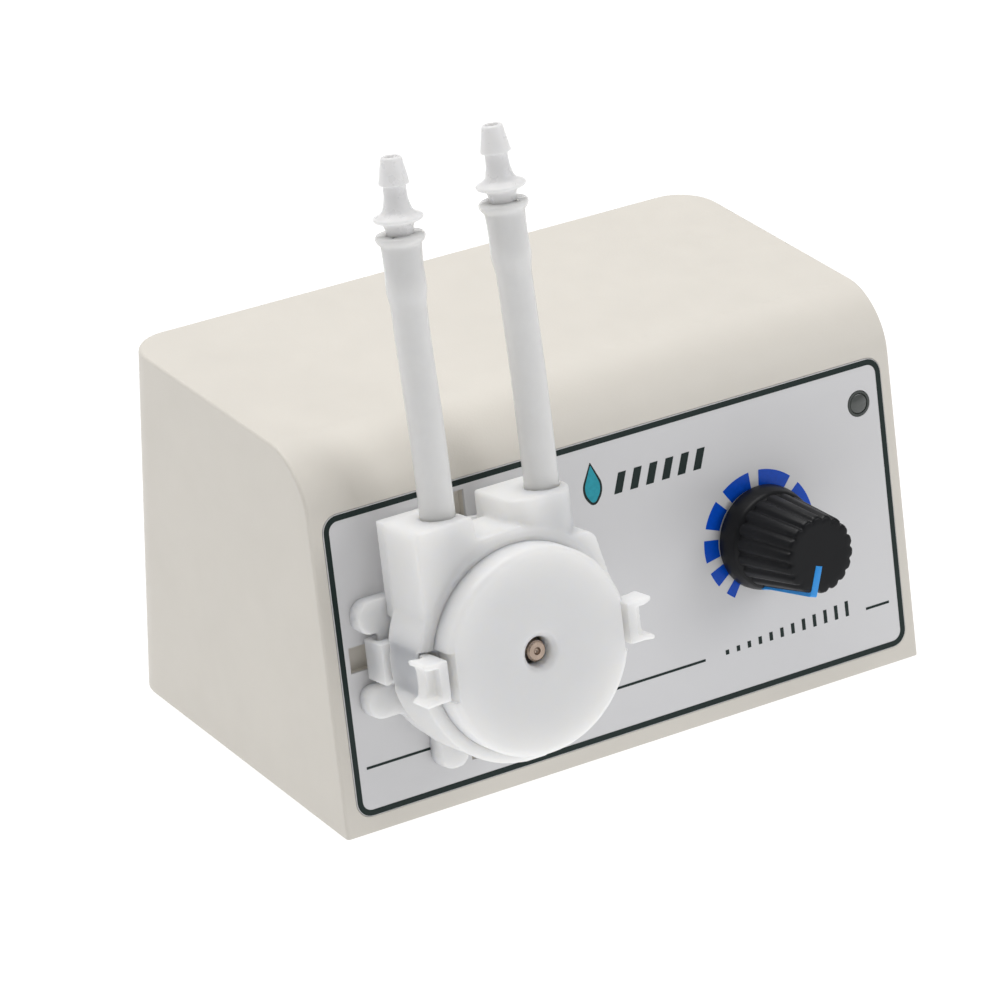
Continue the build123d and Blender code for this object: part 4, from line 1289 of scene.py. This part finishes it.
    def soft_piece(
        self, name: str, shells: list[Mesh], body: Body, node: str, passes: int,
        cuts: Mesh | None = None, voxel: float = 0.0,
    ) -> None:
        """Fuse shells into one soft-edged moulding.

        Args:
            name: the piece's name.
            shells: closed shells that overlap.
            body: body that it rides on.
            node: CAD node that it stands for.
            passes: rounds of smoothing.
            cuts: shapes taken out of it.
            voxel: size of its mesh's faces, if not the head's own.
        """
        size = voxel or self.voxel
        made = as_object(name, together(shells), places.head())
        melt(made, size, 0)
        if cuts is not None:
            combine(made, cuts, places.head())
        melt(made, size, passes)
        finish_piece(made, "head", body, [node], 80)

    def build(self) -> None:
        """Make the head's pieces."""
        self.soft_piece("head_housing", self.housing(), Body.CASE, "pump_housing", 5, self.housing_cuts())
        self.soft_piece("head_base", self.base(), Body.CASE, "pump_base", 4, bar(3.7, -1, 9))
        self.soft_piece("latch_right_arm", self.latch(), Body.LATCH_RIGHT, "latch_right", 3, voxel=0.15)
        left = [mirrored(part) for part in self.latch()]
        self.soft_piece("latch_left_arm", left, Body.LATCH_LEFT, "latch_left", 3, voxel=0.15)
        cover = as_object("head_cover", self.cover(), places.head())
        for side in (-1, 1):
            reach = sorted((side * 13.75, side * 30))
            combine(cover, block(tuple(reach), (-3.6, 3.6), (0, 30)), places.head())
        weighted(cover)
        finish_piece(cover, "head", Body.CASE, ["pump_cover"], 40)


# ---------------------------------------------------------------- free tubes
@dataclass
class FreeTube:
    """One open silicone tube, swollen over the stem of its barbed fitting."""

    name: str
    route: tuple[tuple[float, float, float], ...]
    length: float
    radius: float = 2.5
    bore: float = 1.5
    swell_radius: float = 2.85
    swell_length: float = 7.6
    swell_taper: float = 3.0
    flare_radius: float = 3.5
    stem_radius: float = 1.97
    steps: int = 48
    line: list[Vector] = field(default_factory=list)

    def centreline(self) -> list[Vector]:
        """Points along the smooth curve through the route's control points."""
        data = bpy.data.curves.new(self.name + "_line", "CURVE")
        data.dimensions = "3D"
        spline = data.splines.new("NURBS")
        spline.points.add(len(self.route) - 1)
        for point, place in zip(spline.points, self.route):
            point.co = (*place, 1)
        spline.order_u = 3
        spline.use_endpoint_u = True
        spline.resolution_u = 24
        carrier = bpy.data.objects.new(self.name + "_line", data)
        mesh = bpy.data.meshes.new_from_object(carrier)
        points = [v.co.copy() for v in mesh.vertices]
        bpy.data.meshes.remove(mesh)
        bpy.data.objects.remove(carrier)
        bpy.data.curves.remove(data)
        return points

    def stations(self) -> list[tuple[Vector, Vector, float]]:
        """Places along the line: point, direction and distance to the free end in millimetres."""
        spans = [(b - a).length for a, b in zip(self.line, self.line[1:])]
        total = sum(spans)
        result, walked = [], 0.0
        from_end = (0, 0.25, 0.5, 0.8, 1.1, 1.5, 2.0, 3.0, 5.0, 7.0, 7.6, 8.0, 8.5, 9.0, 9.6)
        wanted = [total - distance * MM for distance in from_end]
        wanted += [total * share / 12 for share in range(10)]
        wanted.sort()
        index = 0
        for distance in wanted:
            while index < len(spans) - 1 and walked + spans[index] < distance - 1e-9:
                walked += spans[index]
                index += 1
            a, b = self.line[index], self.line[index + 1]
            share = (distance - walked) / spans[index]
            result.append((a.lerp(b, share), (b - a).normalized(), (total - distance) / MM))
        return result

    def outer(self, to_end: float) -> float:
        """Outer radius at a distance from the free end."""
        if to_end < 1.5:
            lip = math.sqrt(max(0.0, 1 - (1 - to_end / 0.45) ** 2)) if to_end < 0.45 else 1.0
            bulge = math.cos(min(1.0, max(0.0, to_end - 0.4) / 1.1) * math.pi / 2)
            return self.swell_radius - 0.25 * (1 - lip) + (self.flare_radius - self.swell_radius) * bulge
        share = min(1.0, max(0.0, (to_end - self.swell_length) / self.swell_taper))
        blend = share * share * (3 - 2 * share)
        waist = 0.12 * math.sin(min(1.0, (to_end - 1.5) / 6.0) * math.pi)
        return self.swell_radius + (self.radius - self.swell_radius) * blend - waist

    def inner(self, to_end: float) -> float:
        """Bore radius at a distance from the free end."""
        share = min(1.0, max(0.0, (to_end - 5.8) / 2.3))
        return self.stem_radius + (self.bore - self.stem_radius) * share

    def ring(self, mesh: Mesh, place: Matrix, radius: float) -> list[Edge]:
        """One ring of vertices across the tube."""
        made = bmesh.ops.create_circle(mesh, cap_ends=False, segments=self.steps, radius=radius, matrix=place)
        return list({e for v in made["verts"] for e in v.link_edges})

    def end_place(self) -> Matrix:
        """Place of the free end, with z pointing out of it, in local millimetres."""
        point, direction, _ = self.stations()[-1]
        place = direction.to_track_quat("Z", "Y").to_matrix().to_4x4()
        place.translation = point
        return place @ Matrix.Scale(MM, 4)

    def tube(self) -> Piece:
        """Hollow tube that follows the line."""
        mesh = bmesh.new()
        outside, inside = [], []
        for point, direction, to_end in self.stations():
            place = direction.to_track_quat("Z", "Y").to_matrix().to_4x4()
            place.translation = point
            outside.append(self.ring(mesh, place, self.outer(to_end) * MM))
            inside.append(self.ring(mesh, place, self.inner(to_end) * MM))
        for loops in (outside, inside):
            for a, b in zip(loops, loops[1:]):
                bmesh.ops.bridge_loops(mesh, edges=a + b)
        for end in (0, -1):
            bmesh.ops.bridge_loops(mesh, edges=outside[end] + inside[end])
        bmesh.ops.recalc_face_normals(mesh, faces=mesh.faces[:])
        return as_object(f"{self.name}_hose", mesh, Matrix.Identity(4))

    def fitting(self) -> Mesh:
        """Straight barbed fitting with a lens-shaped collar."""
        return turned([
            (0.9, -8.0, 0.1), (1.55, -8.0, 0.2), (1.95, -5.8, 0.3), (1.95, 0.8, 0.4), (2.2, 1.55, 0.4),
            (3.5, 2.0, 0.3), (3.5, 2.45, 0.3), (2.15, 3.1, 0.5), (1.62, 4.9, 0.7), (1.6, 6.95, 0.1),
            (2.15, 7.0, 0.12), (1.45, 10.8, 0.3), (0.9, 10.85, 0.15),
        ], 64, 4)

    def build(self) -> None:
        self.line = self.centreline()
        hose = finish_piece(self.tube(), "tube", Body.CASE, [f"{self.name}_tube"], 60)
        end = as_object(f"{self.name}_barb", self.fitting(), self.end_place())
        finish_piece(end, "fitting", Body.CASE, [f"{self.name}_fitting"], 35)


class Innards:
    """CAD nodes that keep their own shape and only take a finish."""

    def build(self) -> None:
        """Dress each node."""
        for finish, nodes in CAD_FINISHES.items():
            for node in nodes:
                made = frame["nodes"][node]
                made.data.materials.clear()
                made.data.materials.append(paint.get(finish))
                log.info("%s takes %s", node, finish)


INLET_ROUTE = (
    (-0.034700, -0.022233, 0.047638),
    (-0.034700, -0.019857, 0.059401),
    (-0.035250, -0.016987, 0.073104),
    (-0.035150, -0.014058, 0.087101),
)
OUTLET_ROUTE = (
    (-0.017400, -0.022233, 0.047638),
    (-0.017400, -0.019857, 0.059401),
    (-0.017700, -0.017007, 0.073108),
    (-0.018250, -0.013938, 0.087893),
)


def main() -> None:
    """Build the studio and every piece, and report each one."""
    logging.basicConfig(level=logging.INFO, format="%(message)s")
    Studio().build()
    case = Case()
    case.build()
    FrontPrint(case).build()
    SpeedKnob().build()
    PumpHead().build()
    FreeTube("inlet", INLET_ROUTE, 0.0403).build()
    FreeTube("outlet", OUTLET_ROUTE, 0.0411).build()
    Innards().build()


if __name__ == "__main__":
    main()
